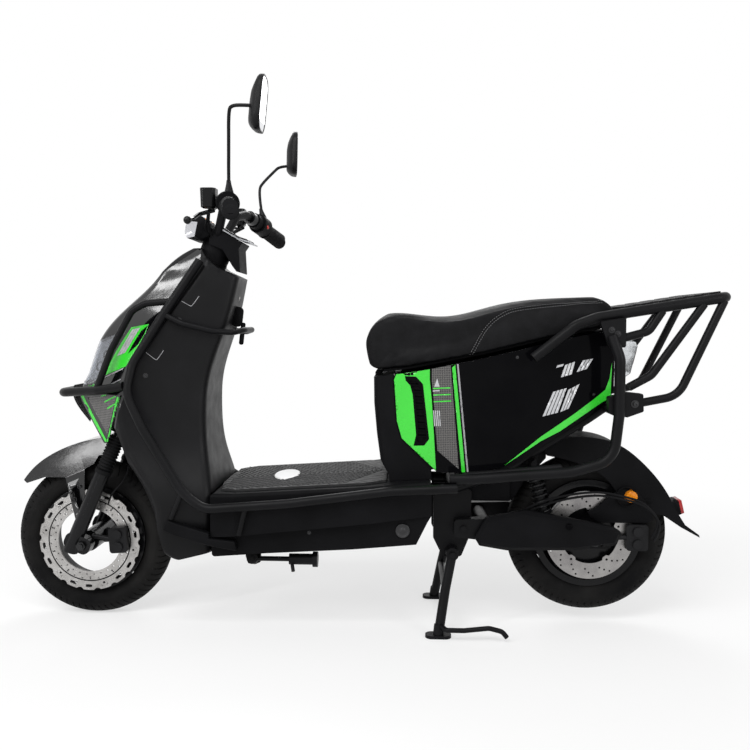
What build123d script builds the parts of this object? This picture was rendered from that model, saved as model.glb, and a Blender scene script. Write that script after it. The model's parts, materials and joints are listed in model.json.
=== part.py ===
from build123d import *
from math import cos, radians, sin
import os

# Electric delivery motorcycle, parked on its centre stand.
# Millimetres. +X forward, +Y left, +Z up; the floor is z = 0 and the machine's
# overall length and width are centred on the origin.

# ---- driving dimensions --------------------------------------------------
wheelbase = 1286.0
tyre_radius = 205.0
tyre_width = 78.0
rim_bead_radius = 127.0
rear_lift = 31.0            # rear tyre's height above the floor on the stand
rack_overhang = 304.0       # rear end of the rack behind the rear axle
rake_angle = 23.5
body_half_width = 138.0     # outer faces of the rear side panels
deck_half_width = 186.0
mat_half_width = 160.0
seat_half_width = 128.0
guard_half_width = 203.0    # centre line of the lower guard tubes
guard_tube = 22.0
upper_guard_tube = 17.0
rack_tube = 25.0
rack_half_width = 150.0
hook_tube = 15.0
shell_wall = 4.0
panel_gap = 0.6             # shut lines between body panels
seat_gap = 0.3              # clearance between a seated piece and its seat
running_clearance = 0.05    # radial clearance of shafts in bores
arch_radius = 283.0         # spherical clearance round the steered wheel

# wheels, brakes and axles
front_axle_diameter = 14.0
rear_axle_diameter = 16.0
hub_half_width = 60.0
front_disc_radius = 132.0
front_rotor_radius = 112.5
front_rotor_inner = 83.0
rear_disc_radius = 112.0
rear_disc_inner = 72.0
disc_thickness = 4.5
disc_offset = 50.0          # inner face of the discs from the centre plane
motor_radius = 98.0

# fork and steering
fork_half_track = 92.0
fork_leg_radius = 19.0
fork_tube_radius = 13.5
fork_offset = 25.0          # legs ahead of the steering axis
stem_radius = 14.0
head_tube_radius = 24.0
yoke_height = 316.0         # along the steering axis, from the axle line
head_tube_low = 334.0
head_tube_high = 462.0
stem_top = 862.0
handlebar_tube = 22.2
grip_radius = 16.5
handlebar_end = 335.0

# stands
stand_pivot = (349.0, 197.0)
stand_half_track = 141.0
stand_tube = 24.0
side_stand_pivot = (846.0, 181.0)
side_stand_length = 163.0
side_stand_splay = 18.0
tab_y = 104.0               # side stand bracket
tab_thickness = 8.0

# ---- stations ------------------------------------------------------------
rear_axle_x = -(wheelbase + tyre_radius - rack_overhang) / 2
front_axle_x = rear_axle_x + wheelbase
front_axle_z = tyre_radius
rear_axle_z = tyre_radius + rear_lift
rake = radians(rake_angle)


def rear(x, z):
    """Side-view point measured forward from the rear axle and up from the floor."""
    return (rear_axle_x + x, z)


def front(x, z):
    """Side-view point measured forward from the front axle and up from the floor."""
    return (front_axle_x + x, z)


def at(point, y):
    """Side-view point placed at a distance y to the left of the centre plane."""
    return (point[0], y, point[1])


def across(points):
    """A left-hand route of points carried on to the right-hand side."""
    return list(points) + [(x, -y, z) for x, y, z in reversed(points)]


# Plane through the front axle, square to the steering axis: local X is
# forward, local Y is left and local Z climbs the steering axis.
steering_plane = Plane(
    origin=(front_axle_x, 0, front_axle_z),
    x_dir=(cos(rake), 0, sin(rake)),
    z_dir=(-sin(rake), 0, cos(rake)),
)


def steered(x, y, height):
    """Point given along the steering axis from the front axle."""
    return tuple(steering_plane.from_local_coords(Vector(x, y, height)))


# ---- shared shapes -------------------------------------------------------
def bent_tube(points, radii, diameter):
    """Round bar along straight runs joined by tangent bends."""
    with BuildPart() as tube:
        with BuildLine() as route:
            FilletPolyline(*points, radius=radii)
        start = route.line
        with BuildSketch(Plane(origin=start @ 0, z_dir=start % 0)):
            Circle(diameter / 2)
        sweep(path=route.line)
    return tube.part


def straight_tube(start, end, diameter):
    """Round bar between two points."""
    run = Vector(*end) - Vector(*start)
    with BuildPart() as tube:
        with BuildSketch(Plane(origin=start, z_dir=run)):
            Circle(diameter / 2)
        extrude(amount=run.length)
    return tube.part


def side_prism(points, half_width, corner=0.0, edges=0.0):
    """Side-view outline extruded to both sides of the centre plane."""
    with BuildPart() as prism:
        with BuildSketch(Plane.XZ):
            with BuildLine():
                Polyline(*points, close=True)
            make_face()
            if corner > 0:
                fillet(vertices(), radius=corner)
        extrude(amount=half_width, both=True)
        if edges > 0:
            fillet(faces().filter_by(Axis.Y).edges(), radius=edges)
    return prism.part


def side_plate(points, inner_y, thickness, corner=0.0):
    """Side-view outline as a plate on the left, from inner_y outwards."""
    with BuildPart() as plate:
        with BuildSketch(Plane.XZ.offset(-inner_y)):
            with BuildLine():
                Polyline(*points, close=True)
            make_face()
            if corner > 0:
                fillet(vertices(), radius=corner)
        extrude(amount=-thickness)
    return plate.part


def both_sides(piece):
    """A left-hand piece and its mirror image."""
    with BuildPart() as pair:
        add(piece)
        mirror(about=Plane.XZ)
    return pair.part


def wheel_plane(axle_x, axle_z):
    """Plane for wheel profiles: local X is along the axle, local Y is radial."""
    return Plane(origin=(axle_x, 0, axle_z), x_dir=(0, 1, 0), z_dir=(1, 0, 0))


def axle_plane(axle_x, axle_z, y):
    """Plane square to an axle at y, with its normal pointing left."""
    return Plane(origin=(axle_x, y, axle_z), x_dir=(-1, 0, 0), z_dir=(0, 1, 0))


# ---- wheels --------------------------------------------------------------
bead_half = 27.0
tyre_wall = 7.0
rim_flange = 11.0           # height of the rim's flanges over the bead seat


def make_tyre(axle_x, axle_z):
    """Tyre of round section, open towards the rim."""
    half = tyre_width / 2
    bead = rim_bead_radius + seat_gap
    shoulder = tyre_radius - 17
    belly = rim_bead_radius + 40
    flange_top = rim_bead_radius + rim_flange + 1
    with BuildPart() as tyre:
        with BuildSketch(wheel_plane(axle_x, axle_z)):
            with BuildLine():
                inner = half - 2 * tyre_wall
                ThreePointArc((-bead_half, flange_top), (-half, belly), (-half + 7, shoulder))
                ThreePointArc((-half + 7, shoulder), (0, tyre_radius), (half - 7, shoulder))
                ThreePointArc((half - 7, shoulder), (half, belly), (bead_half, flange_top))
                Polyline(
                    (bead_half, flange_top), (bead_half, bead), (bead_half - tyre_wall, bead),
                    (bead_half - tyre_wall, flange_top),
                )
                ThreePointArc(
                    (bead_half - tyre_wall, flange_top), (half - tyre_wall, belly),
                    (inner, shoulder - 6),
                )
                ThreePointArc(
                    (inner, shoulder - 6), (0, tyre_radius - 11), (-inner, shoulder - 6),
                )
                ThreePointArc(
                    (-inner, shoulder - 6), (tyre_wall - half, belly),
                    (tyre_wall - bead_half, flange_top),
                )
                Polyline(
                    (tyre_wall - bead_half, flange_top), (tyre_wall - bead_half, bead),
                    (-bead_half, bead), (-bead_half, flange_top),
                )
            make_face()
        revolve(axis=Axis((axle_x, 0, axle_z), (0, 1, 0)))
    return tyre.part


def make_rim_barrel(axle_x, axle_z):
    """Drop-centre barrel with its two flanges."""
    flange = rim_bead_radius + rim_flange
    seat = rim_bead_radius
    with BuildPart() as barrel:
        with BuildSketch(wheel_plane(axle_x, axle_z)):
            with BuildLine():
                Polyline(
                    (bead_half + seat_gap, flange), (bead_half + 5, flange),
                    (bead_half + 5, seat - 5), (14, seat - 22), (-14, seat - 22),
                    (-bead_half - 5, seat - 5), (-bead_half - 5, flange),
                    (-bead_half - seat_gap, flange), (-bead_half - seat_gap, seat),
                    (-18, seat), (-12, seat - 17), (12, seat - 17), (18, seat),
                    (bead_half + seat_gap, seat), close=True,
                )
            make_face()
        revolve(axis=Axis((axle_x, 0, axle_z), (0, 1, 0)))
    return barrel.part


front_tyre = make_tyre(front_axle_x, front_axle_z)
front_tyre.label = "front_tyre"

spoke_count = 5
front_hub_radius = 27.0
spoke_inner_width = 34.0
spoke_outer_width = 22.0
ring_bolt_count = 6
ring_bolt_radius = 117.0

with BuildPart() as front_rim:
    add(make_rim_barrel(front_axle_x, front_axle_z))
    with BuildSketch(axle_plane(front_axle_x, front_axle_z, -hub_half_width)):
        Circle(front_hub_radius)
    extrude(amount=2 * hub_half_width)
    with BuildSketch(axle_plane(front_axle_x, front_axle_z, -11)):
        with PolarLocations(0, spoke_count, start_angle=90):
            with BuildLine():
                Polyline(
                    (front_hub_radius - 6, -spoke_inner_width / 2),
                    (rim_bead_radius - 21, -spoke_outer_width / 2),
                    (rim_bead_radius - 21, spoke_outer_width / 2),
                    (front_hub_radius - 6, spoke_inner_width / 2), close=True,
                )
            make_face()
    extrude(amount=22)
    with BuildSketch(axle_plane(front_axle_x, front_axle_z, bead_half + 4)):
        with PolarLocations(ring_bolt_radius, ring_bolt_count, start_angle=-12):
            Circle(6.5)
    extrude(amount=disc_offset - bead_half - 4)
    with BuildSketch(axle_plane(front_axle_x, front_axle_z, bead_half)):
        Circle(rim_bead_radius - 2)
        Circle(ring_bolt_radius - 9, mode=Mode.SUBTRACT)
    extrude(amount=5)
    with BuildSketch(axle_plane(front_axle_x, front_axle_z, -hub_half_width)):
        Circle(front_axle_diameter / 2 + running_clearance)
    extrude(amount=2 * hub_half_width, mode=Mode.SUBTRACT)
front_rim.part.label = "front_rim"

lobe_count = 18

with BuildPart() as front_brake_disc:
    # Wavy slotted ring outside, drilled rotor inside, in one plate.
    with BuildSketch(axle_plane(front_axle_x, front_axle_z, disc_offset)):
        Circle(front_disc_radius)
        Circle(front_rotor_inner, mode=Mode.SUBTRACT)
        with PolarLocations(front_disc_radius + 6, lobe_count, start_angle=-2):
            Circle(11, mode=Mode.SUBTRACT)
        with PolarLocations(front_disc_radius - 11, lobe_count, start_angle=-12):
            SlotOverall(18, 7.5, rotation=90, mode=Mode.SUBTRACT)
        with PolarLocations(ring_bolt_radius, ring_bolt_count, start_angle=-12):
            Circle(9)
            Circle(3, mode=Mode.SUBTRACT)
        with PolarLocations(front_rotor_inner + 8, 30):
            Circle(2.4, mode=Mode.SUBTRACT)
        with PolarLocations(front_rotor_inner + 20, 30, start_angle=6):
            Circle(2.4, mode=Mode.SUBTRACT)
    extrude(amount=disc_thickness)
front_brake_disc.part.label = "front_brake_disc"

lug_half = 14.0             # half width of the fork's axle lugs
nut_thickness = 8.0
axle_reach = fork_half_track + lug_half + nut_thickness + 4

with BuildPart() as front_axle:
    with BuildSketch(axle_plane(front_axle_x, front_axle_z, -axle_reach)):
        Circle(front_axle_diameter / 2)
    extrude(amount=2 * axle_reach)
    nut_y = fork_half_track + lug_half + seat_gap
    for side_y in (nut_y, -nut_y - nut_thickness):
        with BuildSketch(axle_plane(front_axle_x, front_axle_z, side_y)):
            RegularPolygon(12, 6)
        extrude(amount=nut_thickness)
front_axle.part.label = "front_axle"

rear_tyre = make_tyre(rear_axle_x, rear_axle_z)
rear_tyre.label = "rear_tyre"

rear_spoke_count = 6
motor_half_width = 35.0

with BuildPart() as rear_rim:
    # The drive motor fills the hub; short ribs carry the rim round it.
    add(make_rim_barrel(rear_axle_x, rear_axle_z))
    with BuildSketch(axle_plane(rear_axle_x, rear_axle_z, -motor_half_width)):
        Circle(motor_radius)
    extrude(amount=2 * motor_half_width)
    chamfer(edges().filter_by(GeomType.CIRCLE).group_by(SortBy.RADIUS)[0], 6)
    with BuildSketch(axle_plane(rear_axle_x, rear_axle_z, -12)):
        with PolarLocations((motor_radius + rim_bead_radius - 24) / 2, rear_spoke_count):
            Rectangle(rim_bead_radius - motor_radius, 34)
    extrude(amount=24)
    with BuildSketch(axle_plane(rear_axle_x, rear_axle_z, -hub_half_width)):
        Circle(30)
    extrude(amount=2 * hub_half_width)
    with BuildSketch(axle_plane(rear_axle_x, rear_axle_z, motor_half_width - 1)):
        with PolarLocations(rear_disc_inner + 4, 5, start_angle=18):
            Circle(7)
    extrude(amount=disc_offset - motor_half_width + 1)
    with BuildSketch(axle_plane(rear_axle_x, rear_axle_z, -hub_half_width)):
        Circle(rear_axle_diameter / 2 + running_clearance)
    extrude(amount=2 * hub_half_width, mode=Mode.SUBTRACT)
rear_rim.part.label = "rear_rim"

hole_row_count = 15

with BuildPart() as rear_brake_disc:
    with BuildSketch(axle_plane(rear_axle_x, rear_axle_z, disc_offset)):
        Circle(rear_disc_radius)
        Circle(rear_disc_inner, mode=Mode.SUBTRACT)
        with PolarLocations(rear_disc_inner + 4, 5, start_angle=18):
            Circle(11)
            Circle(3, mode=Mode.SUBTRACT)
        for row in range(3):
            radius = rear_disc_inner + 15 + 9 * row
            with PolarLocations(radius, hole_row_count, start_angle=6 * row):
                Circle(2.4, mode=Mode.SUBTRACT)
    extrude(amount=disc_thickness)
rear_brake_disc.part.label = "rear_brake_disc"

# ---- swingarm, rear axle and rear brake ----------------------------------
arm_half_track = 92.0
arm_width = 26.0
arm_end = arm_half_track + arm_width / 2
swing_pivot = rear(322, 262)
shock_y = 84.0
shock_top = rear(150, 428)
shock_low = rear(120, 288)
shock_lug = 10.0

with BuildPart() as rear_axle:
    reach = arm_end + 15
    with BuildSketch(axle_plane(rear_axle_x, rear_axle_z, -reach)):
        Circle(rear_axle_diameter / 2)
    extrude(amount=2 * reach)
    for side_y in (arm_end + seat_gap, -arm_end - seat_gap - nut_thickness):
        with BuildSketch(axle_plane(rear_axle_x, rear_axle_z, side_y)):
            RegularPolygon(14, 6)
        extrude(amount=nut_thickness)
rear_axle.part.label = "rear_axle"

arm_outline = [
    rear(345, 240), rear(345, 284), rear(300, 286), rear(190, 290), rear(60, 270),
    rear(-42, 256), rear(-42, 216), rear(60, 218), rear(200, 224), rear(300, 236),
]

with BuildPart() as swingarm:
    add(side_plate(arm_outline, arm_half_track - arm_width / 2, arm_width, corner=9))
    mirror(about=Plane.XZ)
    with BuildSketch(axle_plane(rear_axle_x + 270, 262, -arm_half_track)):
        Circle(19)
    extrude(amount=2 * arm_half_track)
    with BuildSketch(axle_plane(*shock_low, -arm_end)):
        Circle(shock_lug)
    extrude(amount=arm_width)
    with BuildSketch(axle_plane(*shock_low, arm_end - arm_width)):
        Circle(shock_lug)
    extrude(amount=arm_width)
    with BuildSketch(axle_plane(swing_pivot[0], swing_pivot[1], -arm_end)):
        Circle(8 + running_clearance)
    extrude(amount=2 * arm_end, mode=Mode.SUBTRACT)
    with BuildSketch(axle_plane(rear_axle_x, rear_axle_z, -arm_end)):
        Circle(rear_axle_diameter / 2 + running_clearance)
    extrude(amount=2 * arm_end, mode=Mode.SUBTRACT)
swingarm.part.label = "swingarm"

cover_outline = [
    rear(296, 244), rear(268, 294), rear(172, 314), rear(70, 296), rear(-44, 274),
    rear(-63, 262), rear(-51, 230), rear(50, 216), rear(216, 213), rear(284, 224),
]
cover_outer = 128.0
cover_rim = 14.0            # square edge of the cover before its bevel

with BuildPart() as swingarm_cover:
    # Moulded cover over the left arm, hollow towards the arm and the axle nut.
    add(side_plate(cover_outline, arm_end + panel_gap, cover_rim, corner=6))
    with BuildSketch(Plane.XZ.offset(-arm_end - panel_gap - cover_rim)):
        with BuildLine():
            Polyline(*cover_outline, close=True)
        make_face()
        fillet(vertices(), radius=6)
    extrude(amount=arm_end + panel_gap + cover_rim - cover_outer, taper=48)
    with BuildSketch(axle_plane(rear_axle_x, rear_axle_z, arm_end)):
        Circle(19)
    extrude(amount=cover_outer - arm_end - 3, mode=Mode.SUBTRACT)
swingarm_cover.part.label = "swingarm_cover"

caliper_clearance = 2.0
caliper_arm = 12.0          # round arm that carries a caliper


def make_caliper(axle_x, axle_z, turn, reach, slot, bracket_radius, bracket_to):
    """Two-piston caliper straddling a disc, with its bracket.

    reach and slot are the radii between which the body and its disc slot lie.
    """
    middle = (reach[0] + reach[1]) / 2
    grip_plane = Plane(
        origin=(axle_x + middle * cos(turn), disc_offset - 10, axle_z + middle * sin(turn)),
        x_dir=(cos(turn), 0, sin(turn)), z_dir=(0, 1, 0),
    )
    with BuildPart() as caliper:
        with BuildSketch(grip_plane):
            RectangleRounded(reach[1] - reach[0], 66, 8)
        extrude(amount=34)
        with BuildSketch(grip_plane.offset(33)):
            with Locations((0, 16), (0, -16)):
                Circle(12)
        extrude(amount=7)
        with BuildSketch(axle_plane(axle_x, axle_z, disc_offset - caliper_clearance)):
            Circle(slot[1])
            if slot[0] > 0:
                Circle(slot[0], mode=Mode.SUBTRACT)
        extrude(amount=disc_thickness + 2 * caliper_clearance, mode=Mode.SUBTRACT)
        start = (
            axle_x + bracket_radius * cos(turn), disc_offset + 16,
            axle_z + bracket_radius * sin(turn),
        )
        add(straight_tube(start, bracket_to, caliper_arm))
    return caliper.part


# ---- body: front fairing -------------------------------------------------
# Plan sections of the fairing, from the floor side up: height, rear edge and
# its half width, widest place and its half width, nose and its half width.
fairing_sections = [
    (190, -346, 150, -262, 166, -214, 120),
    (300, -346, 160, -220, 176, -160, 125),
    (380, -338, 140, -190, 166, -100, 90),
    (456, -323, 112, -140, 152, -48, 52),
    (520, -318, 104, -120, 148, 2, 50),
    (588, -319, 98, -120, 150, 38, 60),
    (640, -326, 92, -140, 146, 20, 66),
    (720, -351, 84, -190, 132, -16, 62),
    (820, -382, 74, -260, 112, -104, 54),
    (900, -400, 64, -310, 88, -182, 46),
    (964, -404, 52, -335, 70, -256, 38),
]


def fairing_body(inset):
    """Lofted fairing, every wall moved inwards by inset."""
    with BuildPart() as body:
        for height, x_rear, w_rear, x_mid, w_mid, x_nose, w_nose in fairing_sections:
            half = [
                (front_axle_x + x_rear + inset, w_rear - inset * 0.6),
                (front_axle_x + x_mid, w_mid - inset),
                (front_axle_x + x_nose - inset, w_nose - inset * 0.6),
            ]
            with BuildSketch(Plane.XY.offset(height)):
                with BuildLine():
                    Polyline(*half, *[(x, -y) for x, y in reversed(half)], close=True)
                make_face()
                fillet(vertices(), radius=24 - inset)
        loft()
    return body.part


fairing_outer = fairing_body(0)
fairing_inner = fairing_body(shell_wall)
crown_cut = [
    front(-460, 862), front(-410, 878), front(-345, 908), front(-286, 958),
    front(-200, 960), front(-200, 1000), front(-460, 1000),
]
lower_cut = [
    front(-346, 150), front(-346, 205), front(-255, 188), front(-215, 196),
    front(-150, 196), front(-150, 150),
]

with BuildPart() as fairing:
    add(fairing_outer)
    with Locations((front_axle_x, 0, front_axle_z)):
        Sphere(arch_radius, mode=Mode.SUBTRACT)
    add(side_prism(crown_cut, 200), mode=Mode.SUBTRACT)
    add(side_prism(lower_cut, 240), mode=Mode.SUBTRACT)

with BuildPart() as fairing_core:
    add(fairing_inner)
    with Locations((front_axle_x, 0, front_axle_z)):
        Sphere(arch_radius + shell_wall, mode=Mode.SUBTRACT)
    with Locations((0, 0, -shell_wall)):
        add(side_prism(crown_cut, 200), mode=Mode.SUBTRACT)
    with Locations((0, 0, shell_wall)):
        add(side_prism(lower_cut, 240), mode=Mode.SUBTRACT)

fork_opening = 128.0
deck_window_low = 226.0
deck_window_high = 353.0

with BuildPart() as fairing_shell:
    add(fairing.part)
    add(fairing_core.part, mode=Mode.SUBTRACT)
    # The fork rises through a round well about the steering axis.
    with BuildSketch(steering_plane.offset(200)):
        Circle(fork_opening)
    extrude(amount=150, mode=Mode.SUBTRACT)
    with BuildSketch(steering_plane.offset(600)):
        Circle(stem_radius + 9)
    extrude(amount=320, mode=Mode.SUBTRACT)
    with Locations((front_axle_x - 350, 0, (deck_window_low + deck_window_high) / 2)):
        Box(60, 284, deck_window_high - deck_window_low, mode=Mode.SUBTRACT)

parting_line = [
    front(-276, 1000), front(-300, 925), front(-236, 802), front(-160, 683),
    front(-134, 640), front(-130, 584), front(-88, 486), front(-60, 420),
]
nose_side = parting_line + [front(200, 420), front(200, 1000)]
rear_side = parting_line + [front(-600, 100), front(-600, 1000)]
lens_outline = [
    front(-108, 752), front(-54, 666), front(-14, 617), front(90, 600),
    front(90, 735), front(-20, 724),
]


def region(outline, half_width, shrink):
    """Prism used to part panels, its outline drawn in by shrink."""
    with BuildPart() as prism:
        with BuildSketch(Plane.XZ):
            with BuildLine():
                Polyline(*outline, close=True)
            make_face()
            if shrink != 0:
                offset(amount=-shrink, kind=Kind.INTERSECTION)
        extrude(amount=half_width, both=True)
    return prism.part


spine_half = 50.0

with BuildPart() as leg_shield:
    add(fairing_shell.part)
    add(region(nose_side, 260, 0), mode=Mode.SUBTRACT)
leg_shield.part.label = "leg_shield"

with BuildPart() as nose_shell:
    add(fairing_shell.part)
    add(region(nose_side, 260, panel_gap), mode=Mode.INTERSECT)

with BuildPart() as headlight_lens:
    add(nose_shell.part)
    add(region(lens_outline, 260, panel_gap), mode=Mode.INTERSECT)
headlight_lens.part.label = "headlight_lens"

with BuildPart() as front_cowl:
    add(nose_shell.part)
    add(region(lens_outline, 260, 0), mode=Mode.SUBTRACT)
    with Locations((front_axle_x, 0, 700)):
        Box(700, 2 * spine_half, 700, mode=Mode.INTERSECT)
front_cowl.part.label = "front_cowl"

with BuildPart() as nose_panels:
    add(nose_shell.part)
    add(region(lens_outline, 260, 0), mode=Mode.SUBTRACT)
    with Locations((front_axle_x, 0, 700)):
        Box(700, 2 * (spine_half + panel_gap), 700, mode=Mode.SUBTRACT)
nose_panels.part.label = "nose_panels"

# ---- body: deck ----------------------------------------------------------
deck_front_x = front_axle_x - 346 - panel_gap
deck_rear = rear(404, 0)[0]


def deck_height(x, front_height, rear_height):
    """Height of a line that climbs evenly from the deck's front to its rear."""
    share = (deck_front_x - x) / (deck_front_x - deck_rear)
    return front_height + (rear_height - front_height) * share


top_front, top_rear = 356.0, 390.0
seam_front, seam_rear = 250.0, 307.0
base_front, base_rear = 199.0, 238.0
belly_half_width = 162.0
deck_flat_rear = rear(556, 0)[0]
tread = 7.0                 # thickness of the floorboard's tread


def deck_plan(half_width, nose_half_width):
    """Plan outline of the deck, narrowing towards its rear end."""
    half = [
        (deck_front_x, nose_half_width), (deck_front_x - 60, half_width),
        (deck_flat_rear, half_width), (deck_rear, half_width - 20),
    ]
    return half + [(x, -y) for x, y in reversed(half)]


with BuildPart() as floorboard:
    # Deep tray turned over: flat tread with skirts down to the belly seam.
    with BuildSketch(Plane.XY.offset(150)):
        with BuildLine():
            Polyline(*deck_plan(deck_half_width, deck_half_width - 12), close=True)
        make_face()
    extrude(amount=400)
    deck_side = [
        (deck_front_x, seam_front), (deck_front_x, top_front), (deck_rear, top_rear),
        (deck_rear, seam_rear),
    ]
    add(side_prism(deck_side, 300), mode=Mode.INTERSECT)
    fillet(faces().filter_by(GeomType.PLANE).sort_by(Axis.Z)[-1].edges(), radius=9)
    deck_hollow = [
        (deck_front_x + 9, seam_front - 9), (deck_front_x + 9, top_front - tread),
        (deck_rear - 9, top_rear - tread), (deck_rear - 9, seam_rear - 9),
    ]
    add(side_prism(deck_hollow, belly_half_width - shell_wall), mode=Mode.SUBTRACT)
floorboard.part.label = "floorboard"

mat_thickness = 6.0
mat_outline = [
    (deck_front_x - 8, 60), (deck_front_x - 22, mat_half_width - 20),
    (deck_front_x - 60, mat_half_width), (deck_flat_rear + 8, mat_half_width),
    (deck_rear + 110, mat_half_width - 26),
]

with BuildPart() as floor_mat:
    with BuildSketch(Plane.XY.offset(150)):
        with BuildLine():
            Polyline(*mat_outline, *[(x, -y) for x, y in reversed(mat_outline)], close=True)
        make_face()
    extrude(amount=400)
    mat_side = [
        (deck_front_x, top_front + seat_gap), (deck_front_x, top_front + mat_thickness),
        (deck_rear, top_rear + mat_thickness), (deck_rear, top_rear + seat_gap),
    ]
    add(side_prism(mat_side, 300), mode=Mode.INTERSECT)
floor_mat.part.label = "floor_mat"

belly_side = [
    (deck_front_x, seam_front - panel_gap), (deck_front_x, base_front),
    rear(811, 209), rear(594, 222), rear(440, 236), rear(413, 291),
    (deck_rear, seam_rear - panel_gap),
]
belly_hollow = [
    (deck_front_x + 9, seam_front + 9), (deck_front_x + 9, base_front + shell_wall),
    rear(811, 209 + shell_wall), rear(594, 222 + shell_wall), rear(445, 236 + shell_wall),
    rear(417, 300), (deck_rear - 9, seam_rear + 9),
]

with BuildPart() as belly_cover:
    add(side_prism(belly_side, belly_half_width))
    fillet(edges().filter_by(Axis.Z, reverse=True).group_by(Axis.Z)[0], radius=8)
    add(side_prism(belly_hollow, belly_half_width - shell_wall - 2), mode=Mode.SUBTRACT)
    # Slot for the side stand's bracket.
    with BuildSketch(Plane.XY.offset(150)):
        with Locations((rear_axle_x + 847, tab_y + tab_thickness / 2)):
            Rectangle(46, tab_thickness + 4)
    extrude(amount=80, mode=Mode.SUBTRACT)
belly_cover.part.label = "belly_cover"

battery_half_width = 92.0
battery_outline = [
    rear(880, 212), rear(594, 222 + shell_wall + seat_gap),
    rear(470, 234 + shell_wall + seat_gap), rear(470, 330), rear(880, 306),
]

with BuildPart() as battery:
    add(side_prism(battery_outline, battery_half_width))
battery.part.label = "battery"

# ---- body: under the seat ------------------------------------------------
panel_thickness = 6.0
tail_half_width = 112.0
seat_line = [
    rear(548, 643), rear(464, 653), rear(381, 669), rear(279, 690), rear(187, 712),
    rear(105, 733), rear(-34, 762),
]
body_base = [
    rear(-34, 640), rear(-9, 588), rear(94, 516), rear(140, 492), rear(231, 430),
    rear(314, 414), rear(395, 414),
]


def body_band(outer_inset, inner_inset):
    """Plan band along the bowed left side of the tail, between two insets."""
    with BuildPart() as band:
        with BuildSketch(Plane.XY.offset(360)):
            with BuildLine():
                rear_end = rear_axle_x - 40
                front_end = rear_axle_x + 505
                waist = rear_axle_x + 300
                ThreePointArc(
                    (rear_end, tail_half_width - outer_inset),
                    (waist, body_half_width - outer_inset),
                    (front_end, body_half_width - 8 - outer_inset),
                )
                Line(
                    (front_end, body_half_width - 8 - outer_inset),
                    (front_end, body_half_width - 8 - inner_inset),
                )
                ThreePointArc(
                    (front_end, body_half_width - 8 - inner_inset),
                    (waist, body_half_width - inner_inset),
                    (rear_end, tail_half_width - inner_inset),
                )
                Line(
                    (rear_end, tail_half_width - inner_inset),
                    (rear_end, tail_half_width - outer_inset),
                )
            make_face()
        extrude(amount=460)
    return band.part


panel_outline = [
    rear(494, 648), rear(499, 635), rear(491, 532), rear(479, 490), rear(390, 409),
    rear(314, 408), rear(231, 423), rear(140, 484), rear(94, 508), rear(-9, 578),
    rear(-32, 590), rear(-33, 682), rear(-36, 758), rear(105, 730), rear(187, 709),
    rear(279, 687), rear(381, 666), rear(464, 650),
]
vent_outline = [
    rear(462, 634), rear(440, 630), rear(429, 606), rear(417, 494), rear(427, 482),
    rear(440, 484), rear(436, 510), rear(446, 606),
]

with BuildPart() as side_skin:
    add(body_band(0, panel_thickness))
    add(side_plate(panel_outline, 60, 120), mode=Mode.INTERSECT)
    add(side_plate(vent_outline, 60, 120, corner=3), mode=Mode.SUBTRACT)

slat_count = 9

with BuildPart() as vent_slats:
    # Louvres lean outwards and down across the vent slot.
    for slat in range(slat_count):
        climb = (slat + 0.5) / slat_count
        centre = rear(427 + 24 * climb, 490 + 140 * climb)
        slat_plane = Plane(
            origin=(centre[0], body_half_width - 7, centre[1]),
            x_dir=(1, 0, 0), z_dir=(0, 0.5, 1),
        )
        with BuildSketch(slat_plane):
            Rectangle(34, 12)
        extrude(amount=1.6, both=True)
    add(side_plate(vent_outline, body_half_width - 18, 20, corner=3), mode=Mode.INTERSECT)
    add(body_band(0.5, panel_thickness), mode=Mode.INTERSECT)

with BuildPart() as side_panels:
    add(side_skin.part)
    add(vent_slats.part)
    mirror(about=Plane.XZ)
side_panels.part.label = "side_panels"

box_outline = [
    rear(495, 642), rear(495, 418.2), rear(222, 418.2), rear(20, 547.8), rear(-39, 609),
    rear(-39, 758), rear(105, 729), rear(187, 708), rear(279, 686), rear(381, 665),
    rear(464, 649),
]
bin_outline = [
    rear(478, 800), rear(478, 470), rear(240, 470), rear(60, 600), rear(60, 800),
]

column_outline = [
    rear(546, 639), rear(545, 576), rear(538, 500), rear(529, 436), rear(507, 400),
    rear(507, 384.3), rear(404, 390.6), rear(404, 414), rear(392, 416), rear(479, 497),
    rear(490, 534), rear(497, 635), rear(497, 646),
]
column_half_width = 130.0
seat_hinge = rear(538, 645)
hinge_pin = 6.0
hinge_knuckle = 7.0
hinge_tongue = 40.0         # half width of the seat's hinge tongue

with BuildPart() as seat_column:
    add(side_prism(column_outline, column_half_width))
    column_edges = edges().filter_by(lambda e: abs(e.tangent_at(0.5).Y) < 0.1)
    fillet(column_edges.sort_by(Axis.X)[-6:], radius=20)
    add(region(panel_outline, column_half_width + 10, -panel_gap), mode=Mode.SUBTRACT)
    with BuildSketch(axle_plane(*seat_hinge, -hinge_tongue - 1)):
        Circle(hinge_knuckle + 2)
    extrude(amount=2 * hinge_tongue + 2, mode=Mode.SUBTRACT)
    for lug_y in (hinge_tongue + 1, -hinge_tongue - 10):
        with BuildSketch(axle_plane(*seat_hinge, lug_y)):
            Circle(hinge_knuckle)
        extrude(amount=9)
    with BuildSketch(axle_plane(*seat_hinge, -hinge_tongue - 2)):
        Circle(hinge_pin / 2)
    extrude(amount=2 * hinge_tongue + 4)
seat_column.part.label = "seat_column"

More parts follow.
